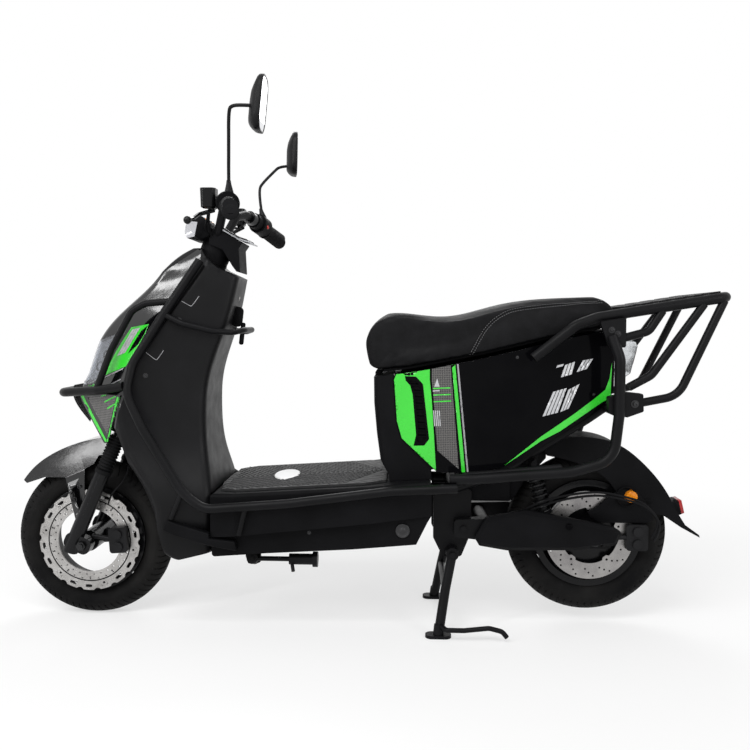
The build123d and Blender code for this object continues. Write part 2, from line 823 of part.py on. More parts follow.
with BuildPart() as seat_box:
    # Body core behind the panels, with an open storage bin under the seat.
    add(side_prism(box_outline, 200))
    add(body_band(-100, panel_thickness + panel_gap), mode=Mode.SUBTRACT)
    add(mirror(body_band(-100, panel_thickness + panel_gap), about=Plane.XZ,
               mode=Mode.PRIVATE), mode=Mode.SUBTRACT)
    add(side_prism(bin_outline, 96, corner=12), mode=Mode.SUBTRACT)
    add(region(column_outline, column_half_width + 10, -panel_gap), mode=Mode.SUBTRACT)
seat_box.part.label = "seat_box"

# ---- seat ----------------------------------------------------------------
seat_top = [
    rear(572, 722), rear(563, 755), rear(535, 784), rear(441, 780), rear(383, 785),
    rear(312, 798), rear(232, 816), rear(132, 826), rear(38, 834), rear(-13, 836),
    rear(-32, 826), rear(-44, 800), rear(-46, 772),
]
cushion_base = [
    rear(105, 744), rear(187, 723), rear(279, 701), rear(381, 680), rear(464, 664),
    rear(540, 656), rear(560, 668),
]

with BuildPart() as seat:
    with BuildSketch(Plane.XZ):
        with BuildLine():
            Spline(*[seat_top[index] for index in (0, 2, 4, 6, 8, 9)])
            Spline(seat_top[9], seat_top[11], seat_top[12])
            Line(seat_top[12], cushion_base[0])
            Polyline(*cushion_base, seat_top[0])
        make_face()
    extrude(amount=seat_half_width, both=True)
    with BuildSketch(Plane.XY.offset(600)):
        with BuildLine():
            seat_plan = [
                (rear_axle_x + 580, 92), (rear_axle_x + 520, 112),
                (rear_axle_x + 330, seat_half_width), (rear_axle_x + 90, seat_half_width),
                (rear_axle_x - 60, 104),
            ]
            Polyline(*seat_plan, *[(x, -y) for x, y in reversed(seat_plan)], close=True)
        make_face()
        fillet(vertices(), radius=30)
    extrude(amount=300, mode=Mode.INTERSECT)
seat.part.label = "seat"

pan_outline = [
    rear(522, 657), rear(464, 663.5), rear(381, 679.5), rear(279, 700.5),
    rear(187, 722.5), rear(105, 743.5), rear(-40, 770.3), rear(-40, 766),
    rear(105, 738), rear(187, 717), rear(279, 695), rear(381, 674), rear(464, 658),
    rear(522, 651),
]

with BuildPart() as seat_base:
    # Moulded pan under the cushion with a hinge tongue at the front.
    add(side_prism(pan_outline, seat_half_width - 28))
    with BuildSketch(axle_plane(*seat_hinge, -hinge_tongue)):
        Circle(hinge_knuckle)
    extrude(amount=2 * hinge_tongue)
    add(side_prism(
        [rear(516, 652), rear(538, 642), rear(538, 650), rear(516, 657)], hinge_tongue,
    ))
    with BuildSketch(axle_plane(*seat_hinge, -hinge_tongue - 1)):
        Circle(hinge_pin / 2 + running_clearance)
    extrude(amount=2 * hinge_tongue + 2, mode=Mode.SUBTRACT)
seat_base.part.label = "seat_base"

# ---- guards and rack -----------------------------------------------------
guard_route = [
    at(front(-307, 924), 95), at(front(-232, 802), 127), at(front(-158, 672), 160),
    at(front(-146, 600), 178), at(front(-190, 515), 190), at(front(-288, 361), 200),
    at(front(-340, 326), guard_half_width), at(rear(746, 342), guard_half_width),
    at(rear(505, 374), guard_half_width), at(rear(345, 383), guard_half_width),
]
guard_bends = [80, 70, 90, 90, 160, 60, 220, 160]
guard_strut = 12.0

with BuildPart() as front_guards:
    add(bent_tube(guard_route, guard_bends, guard_tube))
    add(straight_tube(at(front(-284, 360), 201), at(front(-253, 296), 178.5), guard_strut))
    add(straight_tube(at(rear(848, 328), guard_half_width), at(rear(866, 262), 192.9), guard_strut))
    mirror(about=Plane.XZ)
front_guards.part.label = "front_guards"

coping = guard_tube + 2 * seat_gap
guard_space = both_sides(bent_tube(guard_route, guard_bends, coping))

bumper_route = [
    at(front(-140, 617), 172), at(front(-62, 603), 138), at(front(64, 590), 64),
]
upper_route = [
    at(front(-58, 606), 134), at(front(-90, 700), 122), at(front(-142, 799), 116),
    at(front(-176, 817), 116), at(front(-238, 822), 116),
]

hook_route = [
    at(front(-226, 790), 131), at(front(-270, 768), 129), at(front(-342, 750), 114),
    at(front(-385, 746), 88), at(front(-408, 752), 50),
]

with BuildPart() as nose_guard:
    add(bent_tube(across(bumper_route), [60, 55, 55, 60], guard_tube))
    add(bent_tube(upper_route, [120, 40, 40], upper_guard_tube))
    add(bent_tube([(x, -y, z) for x, y, z in upper_route], [120, 40, 40], upper_guard_tube))
    add(bent_tube(across(hook_route), [60, 60, 40, 30, 30, 40, 60, 60], hook_tube))
    add(guard_space, mode=Mode.SUBTRACT)
nose_guard.part.label = "nose_guard"

rear_guard_y = 189.6
rear_guard_route = [
    at(rear(362, 402.3), rear_guard_y), at(rear(300, 404), rear_guard_y),
    at(rear(78, 422), rear_guard_y), at(rear(-20, 452), rear_guard_y),
    at(rear(-31, 560), rear_guard_y), at(rear(-30, 690), rear_guard_y),
    at(rear(-14, 742), 176),
]
gusset_high = [rear(14, 776), rear(-46, 786), rear(-47, 716), rear(-8, 716)]
gusset_low = [
    rear(-6, 600), rear(-50, 612), rear(-88, 608), rear(-90, 566), rear(-52, 552),
    rear(-10, 560),
]
gusset_y = 163.0
gusset_thickness = 6.0

rail_height = 836.0
rail_rear = -rack_overhang + rack_tube / 2
rail_start = (16.0, 786.0)
rail_rear_run = rail_start[0] - rail_rear
rail_climb = rail_height - rail_start[1]
rail_route = [
    at(rear(166, 689), 163), at(rear(66, 768), 158), at(rear(*rail_start), 154),
    at(rear(rail_rear, rail_height), rack_half_width),
]
rail_bends = [70, 70, 32, 32, 70, 70]
slat_total = 6
slat_first = 82.0           # first slat behind the front of the platform
slat_pitch = 40.0
slat_width = 24.0
slat_thickness = 5.0
rack_plane = Plane(
    origin=at(rear(*rail_start), 0), x_dir=(-rail_rear_run, 0, rail_climb),
    z_dir=(rail_climb, 0, rail_rear_run),
)
brace_routes = [
    ([at(rear(-44, 738), 160), at(rear(-104, 754), 156), at(rear(-136, 802), 152)], [26]),
    ([at(rear(-60, 622), 160), at(rear(-112, 650), 158), at(rear(-232, 818), 152)], [40]),
    ([at(rear(-84, 584), 160), at(rear(-176, 602), 158), at(rear(-280, 826), 148)], [60]),
]
brace_tube = 20.0

with BuildPart() as rear_rack:
    add(bent_tube(across(rail_route), rail_bends, rack_tube))
    for brace, bends in brace_routes:
        strut = bent_tube(brace, bends, brace_tube)
        add(strut)
        add(mirror(strut, about=Plane.XZ, mode=Mode.PRIVATE))
    # Flat slats lie across the rails, let into their tops by a millimetre.
    with BuildSketch(rack_plane.offset(rack_tube / 2 - 1)):
        for slat in range(slat_total):
            with Locations((slat_first + slat_pitch * slat, 0)):
                Rectangle(slat_width, 2 * rack_half_width - 8)
    extrude(amount=slat_thickness)
rear_rack.part.label = "rear_rack"

rack_clearance = 2 * seat_gap

with BuildPart() as rack_spaces:
    add(bent_tube(across(rail_route), rail_bends, rack_tube + rack_clearance))
    for brace, bends in brace_routes:
        space = bent_tube(brace, bends, brace_tube + rack_clearance)
        add(space)
        add(mirror(space, about=Plane.XZ, mode=Mode.PRIVATE))
rack_space = rack_spaces.part

with BuildPart() as rear_guards:
    add(bent_tube(rear_guard_route, [60, 150, 60, 90, 50], rack_tube))
    add(straight_tube(at(rear(330, 408), 176), at(rear(98, 430), 174), 18))
    add(side_plate(gusset_high, gusset_y, gusset_thickness + 6, corner=5))
    add(side_plate(gusset_low, gusset_y, gusset_thickness + 12, corner=5))
    mirror(about=Plane.XZ)
    add(rack_space, mode=Mode.SUBTRACT)
rear_guards.part.label = "rear_guards"

# ---- frame, shocks and tail ----------------------------------------------
rail_y = 122.0
plate_y = 66.0
plate_thickness = 6.0
down_tube = 42.0
cross_tube = 34.0
floor_rail = 26.0
tail_rail = 22.0
tail_rail_y = 80.0


def floor_rail_height(x):
    """Centre height of the floor rails, just under the floorboard's tread."""
    return deck_height(x, top_front, top_rear) - tread - floor_rail / 2 - panel_gap


rail_front_x = front_axle_x - 366
rail_rear_x = rear(470, 0)[0]
hanger_outline = [
    rear(396, 366), rear(340, 372), rear(300, 350), rear(302, 240), rear(325, 182),
    rear(372, 182), rear(396, 230),
]

shock_bracket = [rear(138, 420), rear(164, 420), rear(178, 438), rear(132, 466)]
stand_pin = 14.0
bracket_outline = [
    rear(828, 352), rear(828, 172), rear(842, 166), rear(860, 168), rear(866, 186),
    rear(866, 352),
]

# Plane of the side stand's hub: local X runs back along the folded leg and the
# normal is the hinge line, tilted so that the opened leg splays outwards.
splay = radians(side_stand_splay)
side_hub_plane = Plane(
    origin=at(rear(*side_stand_pivot), tab_y + tab_thickness),
    x_dir=(-1, 0, 0), z_dir=(0, cos(splay), sin(splay)),
)
side_bolt = 10.0
side_hub_start = 6.0
side_hub_length = 14.0

with BuildPart() as main_frame:
    # Head tube, down tube, two floor rails, pivot plates and tail rails.
    with BuildSketch(steering_plane.offset(head_tube_low)):
        Circle(head_tube_radius)
    extrude(amount=head_tube_high - head_tube_low)
    add(bent_tube(
        [steered(-12, 0, 410), at(front(-276, 500), 0), at(front(-305, 330), 0)],
        [90], down_tube,
    ))
    rail_end_y = rail_y + floor_rail / 2 + 2
    add(straight_tube(
        at(front(-305, 330), -rail_end_y), at(front(-305, 330), rail_end_y), cross_tube,
    ))
    add(bent_tube(
        [at(front(-305, 330), rail_y),
         (rail_front_x, rail_y, floor_rail_height(rail_front_x)),
         (rail_rear_x, rail_y, floor_rail_height(rail_rear_x)),
         at(rear(400, 358), plate_y + 10), at(rear(345, 358), plate_y + 10)],
        [100, 60, 50], floor_rail,
    ))
    add(side_plate(hanger_outline, plate_y, plate_thickness, corner=8))
    add(bent_tube(
        [at(rear(345, 356), tail_rail_y), at(rear(232, 398), tail_rail_y),
         at(rear(20, 534), tail_rail_y), at(rear(-34, 572), tail_rail_y)],
        [120, 200], tail_rail,
    ))
    add(side_plate(shock_bracket, tail_rail_y - 12, plate_thickness))
    add(straight_tube(at(shock_top, tail_rail_y - 14), at(shock_top, shock_y + 20), 14))
    add(straight_tube(at(rear(70, 494.5), 0), at(rear(70, 494.5), tail_rail_y + 3), 16))
    add(straight_tube(at(rear(*stand_pivot), 0), at(rear(*stand_pivot), 116), stand_pin))
    add(straight_tube(at(rear(-30, 566), 0), at(rear(-30, 566), gusset_y - seat_gap), floor_rail))
    add(straight_tube(at(swing_pivot, 0), at(swing_pivot, arm_end + 6), 16))
    add(straight_tube(at(rear(345, 356), 0), at(rear(345, 356), tail_rail_y), cross_tube))
    mirror(about=Plane.XZ)
    # The side stand's bracket and bolt are on the left only.
    add(side_plate(bracket_outline, tab_y, tab_thickness, corner=5))
    with BuildSketch(side_hub_plane.offset(-tab_thickness / 2)):
        Circle(side_bolt / 2)
    extrude(amount=tab_thickness / 2 + side_hub_start + side_hub_length + 4)
    with BuildSketch(steering_plane.offset(head_tube_low - 20)):
        Circle(stem_radius + running_clearance)
    extrude(amount=head_tube_high - head_tube_low + 40, mode=Mode.SUBTRACT)
main_frame.part.label = "main_frame"

coil_count = 9

with BuildPart() as rear_shocks:
    # Coil-over damper between the tail rail and the swingarm.
    run = Vector(*at(shock_top, 0)) - Vector(*at(shock_low, 0))
    shock_plane = Plane(origin=at(shock_low, shock_y), x_dir=(0, 1, 0), z_dir=run)
    spring_low = shock_lug + 6
    spring_high = run.length - 34
    pitch = (spring_high - spring_low) / coil_count
    profile = [(0, shock_lug + seat_gap), (13, shock_lug + seat_gap), (13, spring_low - 4),
               (21, spring_low - 4), (21, spring_low), (16, spring_low)]
    for coil in range(coil_count):
        low = spring_low + coil * pitch
        profile += [(20, low + pitch * 0.3), (20, low + pitch * 0.6), (16, low + pitch)]
    profile += [(21, spring_high), (21, spring_high + 4), (8, spring_high + 6),
                (8, run.length - 7 - seat_gap), (0, run.length - 7 - seat_gap)]
    with BuildSketch(Plane(origin=shock_plane.origin, x_dir=(0, 1, 0),
                           z_dir=Vector(0, 1, 0).cross(run))):
        with BuildLine():
            Polyline(*profile, close=True)
        make_face()
    revolve(axis=Axis(shock_plane.origin, run))
    mirror(about=Plane.XZ)
rear_shocks.part.label = "rear_shocks"

fender_half_width = 62.0
fender_outline = [
    rear(128, 470), rear(106, 478), rear(16, 488), rear(-63, 471), rear(-122, 429),
    rear(-175, 370), rear(-213, 304), rear(-236, 268), rear(-271, 243), rear(-273, 236),
    rear(-225, 262), rear(-180, 292), rear(-112, 300), rear(-74, 335), rear(-40, 380),
    rear(30, 420), rear(112, 440),
]

with BuildPart() as fender_solid:
    with BuildSketch(Plane.XZ):
        with BuildLine():
            Spline(*fender_outline[0:7])
            Polyline(*fender_outline[6:13])
            Spline(*fender_outline[12:17])
            Line(fender_outline[16], fender_outline[0])
        make_face()
    extrude(amount=fender_half_width, both=True)

with BuildPart() as rear_fender:
    # Hugger over the rear tyre with side cheeks and a mud flap.
    add(fender_solid.part)
    with BuildSketch(Plane.XZ):
        with BuildLine():
            Spline(
                rear(126, 466), rear(106, 473), rear(16, 483), rear(-60, 466),
                rear(-118, 425), rear(-170, 367), rear(-208, 302),
            )
            Polyline(
                rear(-208, 302), rear(-231, 264), rear(-231, 180), rear(240, 180),
                rear(240, 466), rear(126, 466),
            )
        make_face()
    extrude(amount=fender_half_width - 3.5, both=True, mode=Mode.SUBTRACT)
rear_fender.part.label = "rear_fender"

with BuildPart() as rear_indicators:
    # Round amber lamps on the fender's cheeks and a red reflector at the back.
    with BuildSketch(axle_plane(rear_axle_x - 98, 340, fender_half_width)):
        Circle(17)
    extrude(amount=14, taper=12)
    mirror(about=Plane.XZ)
    add(side_prism([rear(-214, 316), rear(-238, 322), rear(-246, 290), rear(-228, 282)], 24))
rear_indicators.part.label = "rear_indicators"

tail_outline = [
    rear(-39.5, 742), rear(-62, 738), rear(-96, 728), rear(-100, 716), rear(-84, 650),
    rear(-70, 640), rear(-39.5, 640),
]

with BuildPart() as tail_light:
    add(side_prism(tail_outline, 84))
    fillet(edges().filter_by(Axis.Y).sort_by(Axis.X)[:4], radius=5)
tail_light.part.label = "tail_light"

# ---- fork and front fender -----------------------------------------------
leg_low = -30.0
leg_high = 190.0
boot_high = 292.0

with BuildPart() as fork:
    # Lower legs, sliding tubes, lower yoke and the steering stem.
    with BuildSketch(steering_plane.offset(leg_low)):
        with Locations((fork_offset, fork_half_track), (fork_offset, -fork_half_track)):
            Circle(fork_leg_radius)
    extrude(amount=leg_high - leg_low)
    with BuildSketch(steering_plane.offset(leg_high - 30)):
        with Locations((fork_offset, fork_half_track), (fork_offset, -fork_half_track)):
            Circle(fork_tube_radius)
    extrude(amount=yoke_height - leg_high + 40)
    with BuildSketch(steering_plane.offset(yoke_height - 12)):
        with BuildLine():
            yoke = [
                (-26, 30), (fork_offset - 20, fork_half_track + 18),
                (fork_offset + 22, fork_half_track + 18), (34, 30),
            ]
            Polyline(*yoke, *[(x, -y) for x, y in reversed(yoke)], close=True)
        make_face()
        fillet(vertices(), radius=9)
    extrude(amount=24)
    with BuildSketch(steering_plane.offset(yoke_height)):
        Circle(stem_radius)
    extrude(amount=stem_top - yoke_height)
    for leg_y in (fork_half_track - lug_half, -fork_half_track - lug_half):
        with BuildSketch(Plane(
            origin=(front_axle_x, leg_y, front_axle_z),
            x_dir=steering_plane.x_dir, z_dir=(0, 1, 0),
        )):
            with Locations((fork_offset / 2, 0)):
                RectangleRounded(fork_offset + 44, 42, 16)
        extrude(amount=2 * lug_half)
    with BuildSketch(axle_plane(front_axle_x, front_axle_z, -axle_reach)):
        Circle(front_axle_diameter / 2 + running_clearance)
    extrude(amount=2 * axle_reach, mode=Mode.SUBTRACT)
fork.part.label = "fork"

boot_rib_count = 11

with BuildPart() as fork_gaiters:
    # Ribbed rubber boots over the sliding tubes.
    boot_plane = Plane(
        origin=steered(fork_offset, fork_half_track, 0),
        x_dir=steering_plane.x_dir, z_dir=steering_plane.z_dir,
    )
    boot_low = leg_high + seat_gap
    pitch = (boot_high - boot_low - 12) / boot_rib_count
    profile = [(fork_tube_radius + seat_gap, boot_low), (21, boot_low), (21, boot_low + 10)]
    for rib in range(boot_rib_count):
        low = boot_low + 10 + rib * pitch
        profile += [(16.5, low + pitch * 0.2), (20, low + pitch * 0.7)]
    profile += [(16.5, boot_high - 1), (16.5, boot_high), (fork_tube_radius + seat_gap, boot_high)]
    with BuildSketch(Plane(
        origin=boot_plane.origin, x_dir=boot_plane.x_dir,
        z_dir=boot_plane.x_dir.cross(boot_plane.z_dir),
    )):
        with BuildLine():
            Polyline(*profile, close=True)
        make_face()
    revolve(axis=Axis(boot_plane.origin, boot_plane.z_dir))
    mirror(about=Plane.XZ)
fork_gaiters.part.label = "fork_gaiters"

front_fender_half = 58.0
front_fender_top = [
    front(168, 362), front(118, 414), front(72, 441), front(10, 464), front(-70, 478),
]
front_fender_low = [
    front(-84, 440), front(-30, 428), front(-16, 406), front(10, 391), front(60, 370),
    front(112, 370), front(160, 354),
]
fender_skin = 3.5

with BuildPart() as front_fender:
    # Peaked mudguard: ridge on top, cheeks down over the tyre's shoulders.
    with BuildSketch(Plane.XZ):
        with BuildLine():
            Spline(*front_fender_top)
            Line(front_fender_top[-1], front_fender_low[0])
            Polyline(*front_fender_low)
            Line(front_fender_low[-1], front_fender_top[0])
        make_face()
    extrude(amount=front_fender_half, both=True)
    with BuildSketch(Plane.XZ):
        with BuildLine():
            Spline(*[(x - 1, z - fender_skin) for x, z in front_fender_top])
            Polyline(
                (front_fender_top[-1][0] - 1, front_fender_top[-1][1] - fender_skin),
                front(-120, 430), front(-120, 200), front(240, 200),
                (front_fender_top[0][0] - 1, front_fender_top[0][1] - fender_skin),
            )
        make_face()
    extrude(amount=front_fender_half - fender_skin, both=True, mode=Mode.SUBTRACT)
    tab = [front(8, 400), front(60, 376), front(50, 330), front(34, 258), front(12, 262)]
    add(side_plate(tab, front_fender_half - fender_skin, fender_skin))
    add(mirror(side_plate(tab, front_fender_half - fender_skin, fender_skin),
               about=Plane.XZ, mode=Mode.PRIVATE))
    for bolt_x, bolt_z in (front(44, 336), front(28, 276)):
        for side in (1, -1):
            add(straight_tube(
                (bolt_x, side * (front_fender_half - 1), bolt_z),
                (bolt_x - 8, side * (fork_half_track - fork_leg_radius + 4), bolt_z),
                12,
            ))
front_fender.part.label = "front_fender"

# ---- handlebar and its controls ------------------------------------------
bar_route = [
    at(front(-437, 1022), handlebar_end), at(front(-380, 1064), 120),
    at(front(-362, 1052), 74), at(front(-338, 990), 34),
]
bar_bends = [30, 30, 24, 24, 30, 30]
grip_start = Vector(*bar_route[1])
grip_end = Vector(*bar_route[0])
grip_run = grip_end - grip_start
grip_plane = Plane(origin=grip_start, x_dir=(0, 0, 1), z_dir=grip_run)

clamp_length, clamp_width, clamp_height = 58.0, 52.0, 38.0


def bar_and_clamp(clearance):
    """Handlebar with its clamp block, grown by clearance on every side."""
    with BuildPart() as bar:
        add(bent_tube(across(bar_route), bar_bends, handlebar_tube + 2 * clearance))
        with BuildSketch(steering_plane.offset(stem_top + 4 - clamp_height - clearance)):
            with Locations((4, 0)):
                RectangleRounded(clamp_length + 2 * clearance, clamp_width + 2 * clearance, 10)
        extrude(amount=clamp_height + 2 * clearance)
    return bar.part


def stem_space(radius):
    """Cylinder about the steering stem, over its upper length."""
    with BuildPart() as space:
        with BuildSketch(steering_plane.offset(500)):
            Circle(radius)
        extrude(amount=stem_top - 500 + 0.5)
    return space.part


with BuildPart() as handlebar:
    add(bar_and_clamp(0))
    add(stem_space(stem_radius + running_clearance), mode=Mode.SUBTRACT)
handlebar.part.label = "handlebar"

panel_space = bar_and_clamp(seat_gap)

grip_length = 112.0
grip_low = grip_run.length - grip_length

with BuildPart() as grips:
    with BuildSketch(grip_plane.offset(grip_low)):
        Circle(grip_radius)
        Circle(handlebar_tube / 2 + seat_gap, mode=Mode.SUBTRACT)
    extrude(amount=grip_length)
    with BuildSketch(grip_plane.offset(grip_run.length + seat_gap)):
        Circle(grip_radius)
    extrude(amount=4)
    with BuildSketch(grip_plane.offset(grip_run.length - 0.5)):
        Circle(grip_radius)
        Circle(handlebar_tube / 2 + seat_gap, mode=Mode.SUBTRACT)
    extrude(amount=2)
    mirror(about=Plane.XZ)
grips.part.label = "grips"

housing_radius = 27.0
housing_length = 40.0
collar_length = 28.0
housing_low = grip_low - housing_length - 1

with BuildPart() as switch_housings:
    with BuildSketch(grip_plane.offset(housing_low - collar_length)):
        Circle(housing_radius - 6)
        Circle(handlebar_tube / 2 + seat_gap, mode=Mode.SUBTRACT)
    extrude(amount=collar_length + 2)
    with BuildSketch(grip_plane.offset(housing_low)):
        Circle(housing_radius)
        Circle(handlebar_tube / 2 + seat_gap, mode=Mode.SUBTRACT)
    extrude(amount=housing_length)
    mirror(about=Plane.XZ)
switch_housings.part.label = "switch_housings"

perch_length = 25.0
perch_start = housing_low - collar_length - perch_length - 1
reservoir = at(front(-350, 1042), 168)
lever_route = [
    at(front(-362, 1036), 168), at(front(-330, 1024), 186), at(front(-326, 1008), 225),
    at(front(-330, 998), 285),
]

with BuildPart() as brake_levers:
    # Master cylinder with its fluid cup, perch and ball-ended lever.
    with BuildSketch(grip_plane.offset(perch_start)):
        Circle(18)
        Circle(handlebar_tube / 2 + seat_gap, mode=Mode.SUBTRACT)
    extrude(amount=perch_length)
    perch_middle = grip_plane.offset(perch_start + perch_length / 2).origin
    add(straight_tube(tuple(perch_middle + Vector(12, 0, 0)), reservoir, 20))
    with BuildSketch(Plane(origin=reservoir)):
        RectangleRounded(34, 40, 9)
    extrude(amount=44, taper=-2)
    add(bent_tube(lever_route, [16, 40], 10))
    add(straight_tube(tuple(Vector(*reservoir) + Vector(0, 0, 4)), lever_route[0], 16))
    with Locations(lever_route[-1]):
        Sphere(9)
    with BuildSketch(grip_plane):
        Circle(handlebar_tube / 2 + seat_gap)
    extrude(amount=grip_run.length, mode=Mode.SUBTRACT)
    mirror(about=Plane.XZ)
brake_levers.part.label = "brake_levers"

mirror_route = [
    at(front(-409, 1080), 218), at(front(-409, 1104), 222), at(front(-428, 1234), 288),
    at(front(-452, 1236), 296), at(front(-468, 1236), 298),
]
mirror_bends = [18, 10, 8]
mirror_height = 124.0
mirror_width = 96.0
mirror_centre = at(front(-482, 1256), 262)

with BuildPart() as mirrors:
    # Stalk in its rubber boot, with a tall head facing the rider.
    add(bent_tube(mirror_route, mirror_bends, 8))
    boot_foot = Vector(*mirror_route[0])
    boot_run = Vector(*mirror_route[1]) - boot_foot
    with BuildSketch(Plane(origin=boot_foot - boot_run * 0.4, z_dir=boot_run)):
        Circle(13)
    extrude(amount=46, taper=7)
    head_plane = Plane(origin=mirror_centre, x_dir=(0, 1, 0), z_dir=(-1, 0.12, -0.05))
    with BuildSketch(head_plane):
        RectangleRounded(mirror_width, mirror_height, 30)
    extrude(amount=7)
    with BuildSketch(head_plane):
        RectangleRounded(mirror_width, mirror_height, 30)
    extrude(amount=-18, taper=42)
    with BuildSketch(grip_plane.offset(housing_low)):
        Circle(housing_radius + seat_gap)
    extrude(amount=housing_length, mode=Mode.SUBTRACT)
    mirror(about=Plane.XZ)
mirrors.part.label = "mirrors"

cover_side = [
    front(-318, 985), front(-318, 968), front(-352, 955), front(-378, 912),
    front(-392, 900), front(-408, 897), front(-403, 958), front(-420, 972),
    front(-345, 1004),
]

with BuildPart() as instrument_panel:
    # Column cover under the bars with the sloping instrument face on top.
    add(side_prism(cover_side, 46, corner=2, edges=1.5))
    add(stem_space(stem_radius + seat_gap), mode=Mode.SUBTRACT)
    add(panel_space, mode=Mode.SUBTRACT)
instrument_panel.part.label = "instrument_panel"

lamp_side = [
    front(-250, 1012), front(-256, 1030), front(-292, 1038), front(-306, 1020),
    front(-306, 990), front(-284, 980), front(-254, 982), front(-248, 996),
]

with BuildPart() as headlamp:
    add(side_prism(lamp_side, 62))
    fillet(edges().filter_by(Axis.Y), radius=5)
    add(straight_tube(at(front(-300, 1000), 0), at(front(-318, 1000), 0), 30))
    add(panel_space, mode=Mode.SUBTRACT)
headlamp.part.label = "headlamp"

# ---- brakes on their brackets --------------------------------------------
with BuildPart() as front_caliper:
    # Grips the ring-mounted rotor from inside, carried by the left leg.
    add(make_caliper(
        front_axle_x, front_axle_z, radians(176), (58, 104), (80, 150), 72,
        at(front(-14, 222), fork_half_track - lug_half - caliper_arm / 2 - 0.5),
    ))
front_caliper.part.label = "front_caliper"

with BuildPart() as rear_caliper:
    add(make_caliper(
        rear_axle_x, rear_axle_z, radians(180), (88, 142), (0, rear_disc_radius + 4), 104,
        at(rear(-30, 236), arm_half_track - arm_width / 2 - caliper_arm / 2 - 0.5),
    ))
rear_caliper.part.label = "rear_caliper"

# ---- stands --------------------------------------------------------------
stand_x, stand_z = rear(*stand_pivot)
stand_pivot_track = 96.0
stand_leg = [
    at(rear(stand_pivot[0], stand_pivot[1] - 4), stand_pivot_track),
    at(rear(366, 110), 112), at(rear(382, 14), stand_half_track - 2),
]

with BuildPart() as centre_stand:
    # Two legs on a cross tube, spread to wide feet, with a tread lever.
    with BuildSketch(axle_plane(stand_x, stand_z, plate_y + plate_thickness + 1)):
        Circle(16)
        Circle(stand_pin / 2 + running_clearance, mode=Mode.SUBTRACT)
    extrude(amount=stand_pivot_track - plate_y - plate_thickness + 11)
    add(bent_tube(stand_leg, [60], stand_tube))
    with BuildSketch(Plane(origin=at(rear(384, 0), stand_half_track))):
        SlotOverall(64, 32)
    extrude(amount=8)
    add(straight_tube(at(rear(384, 6), stand_half_track), at(rear(381, 30), stand_half_track - 4), 26))
    mirror(about=Plane.XZ)
    add(straight_tube(at(rear(366, 110), -112), at(rear(366, 110), 112), 18))
    add(bent_tube(
        [at(rear(378, 30), 142), at(rear(366, 27), 166), at(rear(322, 27), 166),
         at(rear(262, 34), 166), at(rear(230, 26), 166), at(rear(219, 12), 166)],
        [10, 60, 30, 20], 12,
    ))
    with BuildSketch(axle_plane(stand_x, stand_z, -stand_pivot_track - 20)):
        Circle(stand_pin / 2 + running_clearance)
    extrude(amount=2 * stand_pivot_track + 40, mode=Mode.SUBTRACT)
centre_stand.part.label = "centre_stand"

with BuildPart() as side_stand:
    # Folded leg lying back under the deck, with its round foot.
    leg_plane = side_hub_plane.offset(side_hub_start + side_hub_length / 2)

    def on_leg(along, up=0.0, out=0.0):
        """Point along the folded leg from its hinge line."""
        return tuple(leg_plane.from_local_coords(Vector(along, up, out)))

    with BuildSketch(side_hub_plane.offset(side_hub_start)):
        Circle(14)
    extrude(amount=side_hub_length)
    add(straight_tube(on_leg(8), on_leg(96), 12))
    add(straight_tube(on_leg(92), on_leg(side_stand_length - 11), 27))
    add(straight_tube(on_leg(side_stand_length - 12), on_leg(side_stand_length), 38))
    add(straight_tube(on_leg(98, -6), on_leg(104, -30, 8), 9))
    with BuildSketch(side_hub_plane):
        Circle(side_bolt / 2 + running_clearance)
    extrude(amount=40, mode=Mode.SUBTRACT)
side_stand.part.label = "side_stand"

# ---- files ---------------------------------------------------------------
pieces = [
    main_frame.part, swingarm.part, swingarm_cover.part, rear_shocks.part, rear_axle.part,
    rear_caliper.part, rear_fender.part, rear_indicators.part, tail_light.part,
    seat_box.part, seat_column.part, side_panels.part, floorboard.part, floor_mat.part,
    belly_cover.part, battery.part, leg_shield.part, front_cowl.part, nose_panels.part,
    headlight_lens.part, front_guards.part, nose_guard.part, rear_guards.part,
    rear_rack.part, rear_tyre, rear_rim.part, rear_brake_disc.part, fork.part,
    fork_gaiters.part, front_fender.part, front_caliper.part, front_axle.part,
    handlebar.part, grips.part, switch_housings.part, brake_levers.part, mirrors.part,
    instrument_panel.part, headlamp.part, front_tyre, front_rim.part,
    front_brake_disc.part, centre_stand.part, side_stand.part, seat.part, seat_base.part,
]

os.makedirs("parts", exist_ok=True)
for piece in pieces:
    export_step(piece, f"parts/{piece.label}.step")
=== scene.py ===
"""Electric delivery motorcycle: finishes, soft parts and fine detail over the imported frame."""
import json
from math import atan2, cos, exp, hypot, pi, radians, sin

import bmesh
import bpy
from mathutils import Matrix, Vector
from mathutils.bvhtree import BVHTree
from mathutils.geometry import delaunay_2d_cdt
from mathutils.kdtree import KDTree


